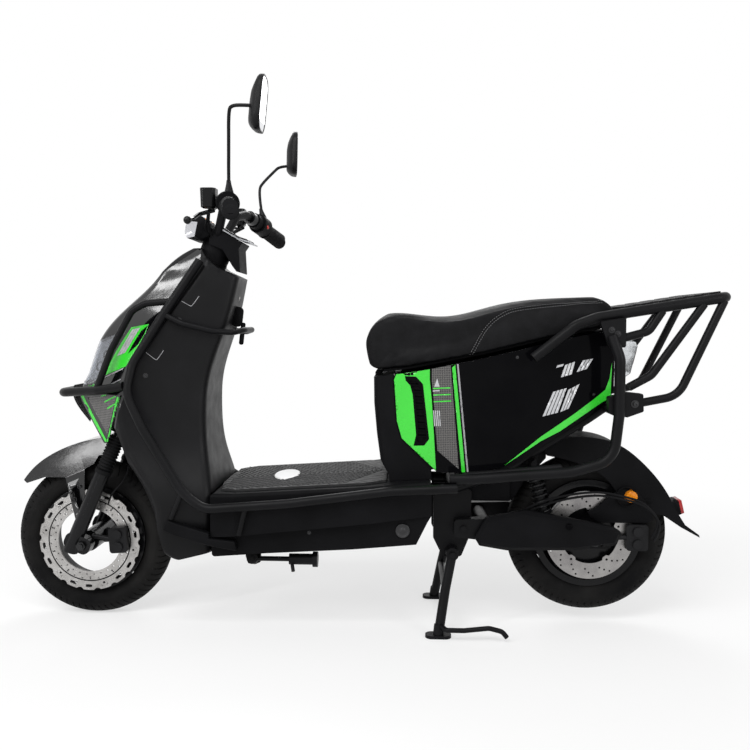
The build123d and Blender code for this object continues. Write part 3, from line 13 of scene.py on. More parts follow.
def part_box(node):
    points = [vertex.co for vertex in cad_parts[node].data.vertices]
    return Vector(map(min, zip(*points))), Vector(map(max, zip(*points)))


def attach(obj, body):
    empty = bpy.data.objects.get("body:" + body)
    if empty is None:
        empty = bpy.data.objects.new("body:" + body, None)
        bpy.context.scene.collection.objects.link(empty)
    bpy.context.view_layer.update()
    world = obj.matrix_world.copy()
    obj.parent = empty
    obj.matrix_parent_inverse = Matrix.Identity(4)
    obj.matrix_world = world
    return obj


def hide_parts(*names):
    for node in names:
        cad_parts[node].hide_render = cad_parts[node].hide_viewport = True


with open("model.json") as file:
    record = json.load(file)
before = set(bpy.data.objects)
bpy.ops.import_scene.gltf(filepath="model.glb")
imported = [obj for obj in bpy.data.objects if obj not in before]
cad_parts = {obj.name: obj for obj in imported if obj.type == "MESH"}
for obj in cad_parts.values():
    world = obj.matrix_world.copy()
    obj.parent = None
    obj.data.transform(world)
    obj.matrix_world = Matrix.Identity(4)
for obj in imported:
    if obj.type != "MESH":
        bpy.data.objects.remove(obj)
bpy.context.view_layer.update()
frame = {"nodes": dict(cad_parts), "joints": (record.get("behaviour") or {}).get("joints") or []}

MM = 0.001
SIDES = (1, -1)
UP, LEFT = Vector((0, 0, 1)), Vector((0, 1, 0))
FRAME, STEERING, SEAT = "frame", "steering", "seat_lid"


def joint(name):
    """A joint's row in the frame."""
    return next(row for row in frame["joints"] if row["name"] == name)


FRONT_AXLE = Vector(joint("front_wheel_spin")["pos_m"])
REAR_AXLE = Vector(joint("rear_wheel_spin")["pos_m"])


def rear(x, z, y=0.0):
    """Point in metres from millimetres forward of the rear axle, above the floor and left."""
    return Vector((REAR_AXLE.x + x * MM, y * MM, z * MM))


def front(x, z, y=0.0):
    """Point in metres from millimetres forward of the front axle, above the floor and left."""
    return Vector((FRONT_AXLE.x + x * MM, y * MM, z * MM))


# ---- materials -----------------------------------------------------------
def feed(tree, node, values):
    """Sets a node's inputs, by name or number, and its attributes.

    An input takes a plain value or another node's output; underscores stand for spaces.
    """
    for key, value in values.items():
        socket = key.replace("_", " ") if isinstance(key, str) else key
        if isinstance(socket, str) and socket not in node.inputs:
            setattr(node, key, value)
        elif isinstance(value, bpy.types.NodeSocket):
            tree.links.new(value, node.inputs[socket])
        else:
            node.inputs[socket].default_value = value


def add_node(tree, kind, numbered=None, **named):
    """Adds a node, with attributes and inputs as feed takes them."""
    made = tree.nodes.new(kind)
    feed(tree, made, named)
    feed(tree, made, numbered or {})
    return made


class Finish:
    """A node material under construction: one Principled shader and its textures."""

    def __init__(self, name):
        self.material = bpy.data.materials.new(name)
        self.material.use_nodes = True
        self.tree = self.material.node_tree
        self.shader = self.tree.nodes["Principled BSDF"]
        self.place = self.node("ShaderNodeTexCoord").outputs["Object"]

    def node(self, kind, numbered=None, **named):
        """Adds a node to this material."""
        return add_node(self.tree, kind, numbered, **named)

    def moved(self, **change):
        """Object coordinates after a Location, Rotation or Scale."""
        return self.node("ShaderNodeMapping", Vector=self.place, **change).outputs["Vector"]

    def noise(self, scale, detail=4.0):
        """Cloudy pattern of so many cells per metre."""
        return self.node("ShaderNodeTexNoise", Vector=self.place, Scale=scale, Detail=detail).outputs["Fac"]

    def spread(self, value, low, high, start=0.3, end=0.7):
        """Maps a texture's middle range to low..high."""
        return self.node("ShaderNodeMapRange", Value=value, From_Min=start, From_Max=end, To_Min=low,
                         To_Max=high).outputs["Result"]

    def mixed(self, factor, first, second):
        """Colour between two by a factor; the first may be another node's output."""
        if not isinstance(first, bpy.types.NodeSocket):
            first = (*first, 1)
        return self.node("ShaderNodeMix", {0: factor, 6: first, 7: (*second, 1)},
                         data_type="RGBA").outputs[2]

    def cloudy(self, texture, colour, worn):
        """Colour that wanders to its worn tone with a texture."""
        return self.mixed(self.spread(texture, 0, 1), colour, worn)

    def bump(self, height, strength, distance, **after):
        """Normal bent by a height, starting from the Normal in after if it has one."""
        return self.node("ShaderNodeBump", Height=height, Strength=strength, Distance=distance,
                         **after).outputs["Normal"]

    def done(self, **sockets):
        """The material, once the shader's own sockets have these values or sources."""
        feed(self.tree, self.shader, sockets)
        return self.material


def surface(name, colour, worn, rough, grain, depth, specular=0.5, **sockets):
    """Moulded or painted surface: fine grain, cloudy wear in its colour and in its gloss.

    rough is the lowest and highest roughness; grain is texture cells per metre.
    """
    finish = Finish(name)
    return finish.done(Base_Color=finish.cloudy(finish.noise(9, 6), colour, worn),
                       Roughness=finish.spread(finish.noise(24, 5), *rough),
                       Normal=finish.bump(finish.noise(grain, 3), 0.6, depth),
                       Specular_IOR_Level=specular, **sockets)


def brushed_rings(name, axle, colour, worn, black_and_shade_rings):
    """Ground steel with fine concentric marks about an axle, and near-black rings given as (radius, half
    width): each is the black colour of a carrier, or painted shade in a gap between rings of the disc.
    """
    finish = Finish(name)
    centred = finish.moved(Location=(-axle.x, 0, -axle.z))
    rings = finish.node("ShaderNodeTexWave", Vector=centred, wave_type="RINGS", rings_direction="Y",
                        Scale=260.0, Distortion=1.5, Detail=3.0).outputs["Fac"]
    flat = finish.node("ShaderNodeVectorMath", {0: centred, 1: (1, 0, 1)}, operation="MULTIPLY")
    radius = finish.node("ShaderNodeVectorMath", {0: flat.outputs["Vector"]}, operation="LENGTH")
    painted = finish.cloudy(finish.noise(30, 6), colour, worn)
    # Each near-black ring is either a carrier's own black or painted shade in the gap between two rings of
    # the disc.
    for middle, half in black_and_shade_rings:
        band = finish.node("ShaderNodeMath", {0: radius.outputs["Value"], 1: middle * MM, 2: half * MM},
                           operation="COMPARE")
        painted = finish.mixed(band.outputs["Value"], painted, (0.01, 0.01, 0.011))
    return finish.done(Base_Color=painted, Roughness=finish.spread(rings, 0.22, 0.42, 0, 1),
                       Normal=finish.bump(rings, 0.25, 0.0002), Metallic=1.0)


def leather(name, colour, worn):
    """Leatherette: pebbled cells with soft creases."""
    finish = Finish(name)
    pebbles = finish.node("ShaderNodeTexVoronoi", Vector=finish.place, Scale=620.0).outputs["Distance"]
    creases = finish.noise(45, 5)
    pebbled = finish.bump(pebbles, 0.45, 0.0006)
    return finish.done(Base_Color=finish.cloudy(creases, colour, worn),
                       Roughness=finish.spread(finish.noise(14, 4), 0.5, 0.68),
                       Normal=finish.bump(creases, 0.25, 0.0015, Normal=pebbled), Specular_IOR_Level=0.1)


def carbon_print(name, dark, light):
    """Printed carbon weave: small twill squares, alternately dark and light."""
    finish = Finish(name)
    slanted = finish.moved(Rotation=(0, radians(45), 0), Scale=(1, 0, 1))
    squares = finish.node("ShaderNodeTexChecker", Vector=slanted, Scale=330.0).outputs["Fac"]
    return finish.done(Base_Color=finish.mixed(squares, dark, light),
                       Roughness=finish.spread(squares, 0.25, 0.45, 0, 1),
                       Normal=finish.bump(squares, 0.2, 0.0002), Coat_Weight=0.4, Coat_Roughness=0.12)


def lamp_glass(name, colour, roughness=0.03, transmission=0.9):
    """Clear or tinted lens with faint mould ripples."""
    finish = Finish(name)
    ripples = finish.noise(60, 2)
    return finish.done(Base_Color=finish.cloudy(ripples, colour, tuple(c * 0.92 for c in colour)),
                       Normal=finish.bump(ripples, 0.1, 0.0004), Transmission_Weight=transmission,
                       Roughness=roughness, IOR=1.45)


def ribbed_mat(name, colour, worn):
    """Rubber mat with chevron ribs running out from its centre line."""
    finish = Finish(name)
    parts = finish.node("ShaderNodeSeparateXYZ", Vector=finish.place)
    away = finish.node("ShaderNodeMath", {0: parts.outputs["Y"]}, operation="ABSOLUTE")
    folded = finish.node("ShaderNodeCombineXYZ", X=parts.outputs["X"], Y=away.outputs["Value"])
    ribs = finish.node("ShaderNodeTexWave", Vector=folded.outputs["Vector"], bands_direction="DIAGONAL",
                       Scale=26.0).outputs["Fac"]
    return finish.done(Base_Color=finish.cloudy(finish.noise(20, 5), colour, worn),
                       Roughness=finish.spread(finish.noise(60, 4), 0.6, 0.8),
                       Normal=finish.bump(ribs, 0.9, 0.002))


BLACK, SOOT, COAL = (0.0034, 0.0034, 0.0038), (0.006, 0.006, 0.0068), (0.009, 0.009, 0.0098)
INK, DEEP = (0.0015, 0.0015, 0.002), (0.003, 0.003, 0.0035)
PALE, GREY = (0.75, 0.75, 0.76), (0.34, 0.34, 0.35)

powder = surface("powder_coat", BLACK, SOOT, (0.34, 0.46), 900, 0.0003, 0.1)
gloss = surface("gloss_black", INK, DEEP, (0.05, 0.1), 90, 0.0001, 0.04)
nose_gloss = surface("nose_gloss", INK, DEEP, (0.06, 0.12), 90, 0.0001, Coat_Weight=0.3,
                     Coat_Roughness=0.05)
matte = surface("matte_plastic", BLACK, SOOT, (0.46, 0.6), 1400, 0.0004, 0.05)
cowl_matte = surface("cowl_matte", BLACK, SOOT, (0.36, 0.48), 1600, 0.0002, 0.14)
soft_rubber = surface("soft_rubber", BLACK, SOOT, (0.6, 0.78), 700, 0.0004, 0.12)
tyre_rubber = surface("tyre_rubber", BLACK, (0.014, 0.0135, 0.013), (0.5, 0.7), 500, 0.0004, 0.06)
alloy_black = surface("alloy_black", BLACK, SOOT, (0.16, 0.28), 500, 0.0002, 0.14, Coat_Weight=0.08,
                      Coat_Roughness=0.1)
cast_dark = surface("cast_dark", (0.006, 0.006, 0.0066), (0.012, 0.012, 0.013), (0.35, 0.5), 600, 0.0004,
                    0.14, Metallic=0.1)
dark_steel = surface("dark_steel", (0.06, 0.06, 0.062), (0.03, 0.03, 0.031), (0.25, 0.4), 300, 0.0002,
                     Metallic=1.0)
steel = surface("bright_steel", (0.5, 0.5, 0.5), (0.38, 0.37, 0.36), (0.22, 0.38), 300, 0.0002, Metallic=1.0)
chrome = surface("chrome", PALE, (0.66, 0.66, 0.67), (0.05, 0.12), 60, 0.0001, Metallic=1.0)
mirror_face = surface("mirror_face", (0.8, 0.81, 0.83), (0.76, 0.77, 0.8), (0.01, 0.03), 20, 0.00001,
                      Metallic=1.0)
green = surface("green_vinyl", (0.035, 0.6, 0.03), (0.03, 0.53, 0.027), (0.2, 0.32), 400, 0.0001,
                Coat_Weight=0.3)
silver = surface("silver_vinyl", (0.6, 0.6, 0.61), (0.4, 0.41, 0.43), (0.25, 0.4), 500, 0.0001,
                 Metallic=0.5)
grey_line = surface("grey_vinyl", GREY, (0.26, 0.26, 0.27), (0.3, 0.4), 400, 0.0001)
white_badge = surface("white_badge", PALE, (0.66, 0.66, 0.65), (0.3, 0.42), 300, 0.0001)
amber = lamp_glass("amber_lens", (0.95, 0.3, 0.015), 0.1, 0.2)
red_lens = lamp_glass("red_lens", (0.42, 0.008, 0.008), 0.1, 0.05)
clear = lamp_glass("clear_lens", (0.92, 0.95, 0.96))
smoked = lamp_glass("smoked_lens", (0.62, 0.64, 0.68), 0.05)
bowl_grey = surface("lamp_bowl", (0.5, 0.5, 0.52), (0.16, 0.16, 0.17), (0.2, 0.45), 70, 0.0002,
                    Metallic=0.5)
lamp_face = surface("lamp_face", (0.62, 0.63, 0.65), (0.3, 0.3, 0.32), (0.12, 0.3), 120, 0.0002,
                    Metallic=0.1, Coat_Weight=0.6, Coat_Roughness=0.03)
reflector = surface("lamp_reflector", (0.8, 0.8, 0.82), (0.6, 0.6, 0.62), (0.08, 0.2), 40, 0.0001,
                    Metallic=1.0)
red_plastic = surface("red_button", (0.6, 0.03, 0.02), (0.5, 0.025, 0.018), (0.3, 0.4), 400, 0.0001)
screen = surface("dark_screen", BLACK, SOOT, (0.05, 0.1), 60, 0.0001, Coat_Weight=0.5)
seat_leather = leather("seat_leather", BLACK, SOOT)
thread = surface("seam_thread", (0.13, 0.13, 0.135), (0.18, 0.18, 0.18), (0.6, 0.75), 3000, 0.0002)
carbon = carbon_print("carbon_print", (0.01, 0.01, 0.011), (0.1, 0.095, 0.09))
mat_rubber = ribbed_mat("ribbed_rubber", BLACK, COAL)
# Front disc: the thin ring at 107 mm is painted shade in the gap between the outer ring and the inner rotor;
# the wide ring at 60 mm is the black carrier.
front_disc_steel = brushed_rings("front_disc_steel", FRONT_AXLE, (0.46, 0.45, 0.44), (0.32, 0.31, 0.3),
                                 ((107, 1.6), (60, 21)))
rear_disc_steel = brushed_rings("rear_disc_steel", REAR_AXLE, (0.36, 0.35, 0.34), (0.24, 0.23, 0.23),
                                ((40, 26),))

NODE_FINISH = {node: finish for finish, nodes in (
    (powder, "main_frame swingarm front_guards nose_guard rear_guards rear_rack handlebar centre_stand"
             " side_stand"),
    (matte, "swingarm_cover rear_fender seat_box seat_column floorboard belly_cover battery"
            " switch_housings mirrors instrument_panel headlamp seat_base"),
    (cast_dark, "rear_shocks rear_caliper front_caliper"), (dark_steel, "rear_axle front_axle"),
    (alloy_black, "fork brake_levers front_rim rear_rim"), (soft_rubber, "fork_gaiters grips"),
    (cowl_matte, "leg_shield front_cowl"), (nose_gloss, "nose_panels front_fender"),
    (gloss, "side_panels"), (tyre_rubber, "front_tyre rear_tyre"), (mat_rubber, "floor_mat"),
    (front_disc_steel, "front_brake_disc"), (rear_disc_steel, "rear_brake_disc"),
    (amber, "rear_indicators"), (clear, "tail_light"), (smoked, "headlight_lens"), (seat_leather, "seat"),
) for node in nodes.split()}
for node, finish in NODE_FINISH.items():
    for slot in frame["nodes"][node].material_slots:
        slot.material = finish


# ---- building pieces -----------------------------------------------------
def placed(name, data):
    """New object in the scene."""
    made = bpy.data.objects.new(name, data)
    bpy.context.scene.collection.objects.link(made)
    return made


def mesh_from(shape, name, *materials):
    """Mesh of a bmesh, which is used up."""
    mesh = bpy.data.meshes.new(name)
    shape.to_mesh(mesh)
    shape.free()
    for material in materials:
        mesh.materials.append(material)
    return mesh


def joined(shapes):
    """Several bmeshes as one."""
    whole = bmesh.new()
    for shape in shapes:
        mesh = mesh_from(shape, "part")
        whole.from_mesh(mesh)
        bpy.data.meshes.remove(mesh)
    return whole


def piece_from(shape, name, body, material, sharp=None, smooth=True):
    """Turns a bmesh, or a list of them, into an object that rides on a body.

    sharp is the least angle in degrees of the edges that stay crisp.
    """
    mesh = mesh_from(joined(shape) if isinstance(shape, list) else shape, name, material)
    if smooth:
        mesh.shade_smooth()
    if sharp:
        mesh.set_sharp_from_angle(angle=radians(sharp))
    made = placed(name, mesh)
    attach(made, body)
    return made


def facing(normal, origin, up=UP):
    """Matrix whose Z looks along normal and whose Y leans towards up."""
    z = normal.normalized()
    x = up.cross(z)
    if x.length < 1e-6:
        x = Vector((1, 0, 0))
    x.normalize()
    return Matrix.Translation(origin) @ Matrix((x, z.cross(x), z)).transposed().to_4x4()


def bridge(shape, rows, closed=True):
    """Faces between neighbouring rows of corners; a closed row of one corner is a pole."""
    for low, high in zip(rows, rows[1:]):
        count = max(len(low), len(high))
        for k in range(count if closed else count - 1):
            corners = [low[k % len(low)], low[(k + 1) % len(low)],
                       high[(k + 1) % len(high)], high[k % len(high)]]
            shape.faces.new(list(dict.fromkeys(corners)))


def turned(profile, matrix, segments=24):
    """Lathe: (radius, height) points in millimetres turned about the matrix's Z."""
    shape = bmesh.new()
    angles = [2 * pi * k / segments for k in range(segments)]
    bridge(shape, [[
        shape.verts.new(matrix @ (Vector((radius * cos(a), radius * sin(a), height)) * MM))
        for a in (angles if radius else (0,))] for radius, height in profile])
    bmesh.ops.recalc_face_normals(shape, faces=shape.faces)
    return shape


def skinned(rings, bevel=0):
    """Closed shape through rings of equally many points, its edges rounded by so many mm."""
    shape = bmesh.new()
    rows = [[shape.verts.new(point) for point in ring] for ring in rings]
    bridge(shape, rows)
    shape.faces.new(rows[0][::-1])
    shape.faces.new(rows[-1])
    bmesh.ops.recalc_face_normals(shape, faces=shape.faces)
    if bevel:
        bmesh.ops.bevel(shape, geom=shape.edges[:], offset=bevel * MM, segments=3, affect="EDGES",
                        profile=0.5)
    return shape


def in_order(elements, place):
    """Sorts a bmesh's corners or faces by their places."""
    ranked = sorted(elements, key=lambda element: tuple(place(element)))
    ranks = {element: rank for rank, element in enumerate(ranked)}
    elements.sort(key=ranks.get)


def prism_shape(outline, low_y, high_y, bevel):
    """Side-view outline extruded across from one y to another, with soft edges."""
    return skinned([[Vector((p.x, y * MM, p.z)) for p in outline] for y in (low_y, high_y)], bevel)


def bolt_shape(origin, normal, r):
    """Domed cap screw on its washer, with a socket in its head."""
    profile = [(0, 0), (1.5 * r, 0), (1.5 * r, 0.18 * r), (r, 0.2 * r), (r, 0.7 * r),
               (0.8 * r, 0.95 * r), (0.5 * r, 1.0 * r), (0.45 * r, 0.55 * r), (0, 0.5 * r)]
    return turned(profile, facing(normal, origin), 16)


def tube_shape(points, radius, segments=10, steps=8):
    """Round tube along a smooth path through points."""
    curve = bpy.data.curves.new("path", "CURVE")
    curve.dimensions = "3D"
    spline = curve.splines.new("NURBS")
    spline.points.add(len(points) - 1)
    for knot, point in zip(spline.points, points):
        knot.co = (*point, 1)
    spline.order_u = 3
    spline.use_endpoint_u = True
    spline.resolution_u = steps
    curve.bevel_depth = radius * MM
    curve.bevel_resolution = segments // 4
    curve.use_fill_caps = True
    holder = bpy.data.objects.new("path", curve)
    mesh = bpy.data.meshes.new_from_object(holder)
    shape = bmesh.new()
    shape.from_mesh(mesh)
    bpy.data.objects.remove(holder)
    bpy.data.curves.remove(curve)
    bpy.data.meshes.remove(mesh)
    return shape


SKINS, SHOWN = {}, dict(frame["nodes"])


def skin_from(mesh):
    """Ray-casting tree of a mesh."""
    return BVHTree.FromPolygons([v.co for v in mesh.vertices], [tuple(p.vertices) for p in mesh.polygons])


def skin_of(node):
    """Ray-casting tree of a node's mesh, or of the piece that stands for it."""
    if node not in SKINS:
        SKINS[node] = skin_from(SHOWN[node].data)
    return SKINS[node]


def seen_from(skin, point, side):
    """Where a side view point meets a skin on the left (1) or right (-1), and its normal."""
    hit, normal, *_ = skin.ray_cast(Vector((point.x, side, point.z)), -side * LEFT)
    return hit, normal


def on_skin(node, point, side=1):
    """Where a side view point meets a node's skin."""
    return seen_from(skin_of(node), point, side)


def within(point, ring):
    """Whether a flat point lies inside a closed ring of flat points."""
    crossed = False
    for start, end in zip(ring, ring[1:] + ring[:1]):
        if (start.y > point.y) != (end.y > point.y):
            share = (point.y - start.y) / (end.y - start.y)
            crossed ^= point.x < start.x + share * (end.x - start.x)
    return crossed


def traced(place, *pairs):
    """Side-view outline from (forward, height) pairs as place, rear or front, takes them."""
    return [place(*pair) for pair in pairs]


# How far out the skin is looked for where an outline runs past its edge.
EDGE_REACH = 0.13


def draped(outline, node, side, lift, holes, spacing):
    """Side-view outline laid on a node's skin from the left (1) or the right (-1)."""
    rings = [[Vector((p.x, p.z)) for p in ring] for ring in (outline, *holes)]
    flat, gaps = rings[0], rings[1:]
    places, bounds = [], []
    for ring in rings:
        first = len(places)
        for start, end in zip(ring, ring[1:] + ring[:1]):
            cuts = max(1, int((end - start).length / spacing))
            places += [start.lerp(end, k / cuts) for k in range(cuts)]
        loop = list(range(first, len(places)))
        bounds += zip(loop, loop[1:] + loop[:1])
    low = Vector((min(p.x for p in flat), min(p.y for p in flat)))
    high = Vector((max(p.x for p in flat), max(p.y for p in flat)))
    across, up = (int((high[k] - low[k]) / spacing) + 1 for k in range(2))
    grid = [Vector((low.x + i * spacing, low.y + j * spacing))
            for i in range(1, across) for j in range(1, up)]
    places += [spot for spot in grid if within(spot, flat)]
    points, _, faces, *_ = delaunay_2d_cdt(places, bounds, [], 0, 1e-6)
    skin = skin_of(node)
    shape = bmesh.new()
    laid = []
    for point in points:
        hit, normal = seen_from(skin, Vector((point.x, 0, point.y)), side)
        if hit is None:
            hit, normal, *_ = skin.find_nearest(Vector((point.x, side * EDGE_REACH, point.y)))
        if normal.y * side < 0:
            normal = -normal
        laid.append(shape.verts.new(hit + normal * lift))
    for face in faces:
        middle = sum((points[k] for k in face), Vector((0, 0))) / len(face)
        if within(middle, flat) and not any(within(middle, gap) for gap in gaps):
            shape.faces.new([laid[k] for k in face])
    loose = [v for v in shape.verts if not v.link_faces]
    bmesh.ops.delete(shape, geom=loose, context="VERTS")
    bmesh.ops.recalc_face_normals(shape, faces=shape.faces)
    return shape


def decals(node, place, rows, spacing=7, holes=()):
    """Thin stickers on both sides of a panel: name, material, lift and the outlines of each."""
    for name, material, lift, *outlines in rows:
        piece_from([draped(traced(place, *outline), node, side, lift * MM, holes, spacing * MM)
                    for outline in outlines for side in SIDES], name, FRAME, material)


def welded(mesh):
    """Editable copy of a mesh, its doubled corners made one."""
    shape = bmesh.new()
    shape.from_mesh(mesh)
    bmesh.ops.remove_doubles(shape, verts=shape.verts, dist=0.01 * MM)
    return shape


def peeled(node, lift, cuts=(), keep=None):
    """Part of a node's skin, moved out by lift: what lies ahead of each cut, (point, normal)."""
    shape = welded(SHOWN[node].data)
    for point, normal in cuts:
        bmesh.ops.bisect_plane(shape, geom=[*shape.verts, *shape.edges, *shape.faces],
                               plane_co=point, plane_no=normal, clear_inner=True)
    if keep:
        dropped = [face for face in shape.faces if not keep(face)]
        bmesh.ops.delete(shape, geom=dropped, context="FACES")
    shape.normal_update()
    for vertex in shape.verts:
        vertex.co += vertex.normal * (lift * MM)
    return shape


# ---- camera, floor and light ---------------------------------------------
LENS_MM, SENSOR_MM = 37.73, 36
CAMERA_PLACE = (-0.12296, 2.03584, 0.76947)
YAW, PITCH, ROLL = 2.1665, 3.7366, 0.2351
FLOOR_REACH, FADE_START, FADE_END = 6, 0.9, 2.2
WHITE = (1, 1, 1, 1)
# Name, place, what it points at, size and power of each lamp.
LAMPS = (
    ("key", (1.0, 2.4, 2.8), (0, 0, 0.5), (1.6, 1.6), 46),
    ("fill", (-2.2, 2.0, 1.6), (0, 0, 0.6), (1.2, 1.2), 20),
    ("far", (0.2, -2.4, 2.6), (0, 0, 0.6), (1.8, 1.8), 34),
    ("nose_strip", (2.6, 1.9, 1.9), (0.5, 0, 0.7), (0.25, 1.6), 26),
    ("side_strip", (0.1, 1.6, 2.9), (0, 0, 0.4), (1.8, 0.2), 16),
)


def seen_directly(tree):
    """Socket that is 1 for camera, gloss and glass rays and 0 for light on the object."""
    path = tree.nodes.new("ShaderNodeLightPath")
    most = path.outputs["Is Camera Ray"]
    for other in ("Is Glossy Ray", "Is Transmission Ray"):
        most = add_node(tree, "ShaderNodeMath", {0: most, 1: path.outputs[other]},
                        operation="MAXIMUM").outputs[0]
    return most


def build_floor():
    """Paper floor that keeps a soft shadow and fades to plain white away from the object."""
    paper = Finish("white_paper")
    paper.done(Base_Color=paper.mixed(paper.noise(2), (0.88, 0.88, 0.88), (0.92, 0.92, 0.92)),
               Roughness=0.9, Specular_IOR_Level=0.05)
    away = paper.node("ShaderNodeVectorMath", {0: paper.place}, operation="LENGTH").outputs["Value"]
    fade = paper.spread(away, 0.55, 1.0, FADE_START, FADE_END)
    glow = paper.node("ShaderNodeEmission", Strength=1.0, Color=WHITE)
    amount = paper.node("ShaderNodeMath", {0: fade, 1: seen_directly(paper.tree)}, operation="MULTIPLY")
    blend = paper.node("ShaderNodeMixShader", {
        0: amount.outputs[0], 1: paper.shader.outputs[0], 2: glow.outputs[0]})
    feed(paper.tree, paper.tree.nodes["Material Output"], {"Surface": blend.outputs[0]})
    shape = bmesh.new()
    shape.faces.new([shape.verts.new((x * FLOOR_REACH, y * FLOOR_REACH, 0))
                     for x, y in ((-1, -1), (1, -1), (1, 1), (-1, 1))])
    placed("floor", mesh_from(shape, "floor", paper.material))


def strip_lamp(name, size, power, matrix):
    """Rectangular lamp that shines against its matrix's Z."""
    lamp = bpy.data.lights.new(name, "AREA")
    lamp.shape, lamp.energy = "RECTANGLE", power
    lamp.size, lamp.size_y = size
    placed(name, lamp).matrix_world = matrix


def build_stage():
    """White studio, soft lamps with narrow strips for the gloss, and the camera."""
    scene = bpy.context.scene
    scene.view_settings.view_transform = "Standard"
    camera = placed("camera", bpy.data.cameras.new("camera"))
    camera.data.sensor_width, camera.data.lens = SENSOR_MM, LENS_MM
    camera.matrix_world = (
        Matrix.Translation(CAMERA_PLACE) @ Matrix.Rotation(radians(180 + YAW), 4, "Z")
        @ Matrix.Rotation(radians(90 - PITCH), 4, "X") @ Matrix.Rotation(radians(ROLL), 4, "Z"))
    scene.camera = camera
    build_floor()

    scene.world = bpy.data.worlds.new("studio")
    scene.world.use_nodes = True
    tree = scene.world.node_tree
    lit = tree.nodes["Background"]
    feed(tree, lit, dict(Color=WHITE, Strength=0.5))
    seen = add_node(tree, "ShaderNodeBackground", Color=WHITE)
    mix = add_node(tree, "ShaderNodeMixShader", {
        0: seen_directly(tree), 1: lit.outputs[0], 2: seen.outputs[0]})
    feed(tree, tree.nodes["World Output"], {"Surface": mix.outputs[0]})
    for name, place, aim, size, power in LAMPS:
        strip_lamp(name, size, power, facing(Vector(place) - Vector(aim), place))


build_stage()


# ---- seat ----------------------------------------------------------------
SEAM = [rear(x, z) for x, z in (
    (313, 690), (303, 708), (290, 733), (276, 756), (256, 778), (232, 794), (205, 804),
    (150, 812), (90, 818), (30, 823), (-8, 825))]
STITCH_SHIFT, STITCH_LIFT = 3.2 * MM, 0.15 * MM
SEAM_STEP, SEAM_REACH, SEAM_SPREAD, SEAM_DEPTH = 2 * MM, 12 * MM, 3.2 * MM, 1.7 * MM
SMOOTHINGS, TOP_FALL, SHRINK_MM, SWELL_CAP = 9, 9 * MM, 1.5, 5 * MM
VOXEL, PRESSURE, CLOTH_STEPS = 6 * MM, 4, 20
# Normals that point further down than these belong to the foot, which stays put.
FOOT, HELD = -0.5, -0.6


def evaluated(holder):
    """Mesh of an object as its modifiers leave it."""
    graph = bpy.context.evaluated_depsgraph_get()
    return bpy.data.meshes.new_from_object(holder.evaluated_get(graph))


def settle(holder):
    """Applies whatever modifiers the holder has."""
    mesh, old = evaluated(holder), holder.data
    holder.modifiers.clear()
    holder.data = mesh
    bpy.data.meshes.remove(old)


def smooth_line(points, step):
    """Evenly spaced points along a soft curve through the points."""
    dense = []
    padded_points = [points[0], *points, points[-1]]
    for a, b, c, d in zip(padded_points, padded_points[1:], padded_points[2:], padded_points[3:]):
        for k in range(12):
            t = k / 12
            dense.append(0.5 * (
                (2 * b) + (c - a) * t + (2 * a - 5 * b + 4 * c - d) * t * t
                + (3 * b - a - 3 * c + d) * t * t * t))
    dense.append(points[-1])
    line, carried = [dense[0]], 0.0
    for start, end in zip(dense, dense[1:]):
        length = (end - start).length
        while carried + length >= step and length > 0:
            share = (step - carried) / length
            start = start.lerp(end, share)
            line.append(start)
            length = (end - start).length
            carried = 0.0
        carried += length
    return line


def crown(holder, half):
    """Softens the cushion's block: its top falls away to the sides and its foot keeps its place."""
    shape = bmesh.new()
    shape.from_mesh(holder.data)
    for _ in range(SMOOTHINGS):
        bmesh.ops.smooth_vert(shape, verts=shape.verts, factor=0.5, use_axis_x=True,
                              use_axis_y=True, use_axis_z=True)
    for vertex in shape.verts:
        across = abs(vertex.co.y) / half
        vertex.co.z -= TOP_FALL * max(0.0, vertex.normal.z) * across ** 3
        if vertex.normal.z >= FOOT:
            vertex.co -= vertex.normal * SHRINK_MM * MM
    shape.to_mesh(holder.data)
    shape.free()


def swell(holder):
    """Cloth under pressure, held at its foot, with every point's way out limited."""
    held = holder.vertex_groups.new(name="held")
    held.add([v.index for v in holder.data.vertices if v.normal.z < HELD], 1.0, "REPLACE")
    rest = [v.co.copy() for v in holder.data.vertices]
    cloth = holder.modifiers.new("cloth", "CLOTH").settings
    cloth.use_pressure = True
    cloth.uniform_pressure_force = PRESSURE
    cloth.vertex_group_mass = "held"
    cloth.effector_weights.gravity = 0
    scene = bpy.context.scene
    for step in range(1, CLOTH_STEPS + 1):
        scene.frame_set(step)
    swelled = evaluated(holder)
    for vertex, start, end in zip(holder.data.vertices, rest, swelled.vertices):
        move = end.co - start
        vertex.co = start + move * min(1.0, SWELL_CAP / max(move.length, 1e-9))
    holder.modifiers.clear()
    bpy.data.meshes.remove(swelled)
    scene.frame_set(1)


def stitch(middle, run, out):
    """One short sewn stitch: a small rounded bead along the seam."""
    aside = out.cross(run)
    return skinned([[
        middle + (run * along + (aside * cos(k * pi / 3) + out * sin(k * pi / 3)) * radius) * MM
        for k in range(6)] for along, radius in ((-2.0, 0.1), (-1.4, 0.55), (1.4, 0.55), (2.0, 0.1))])


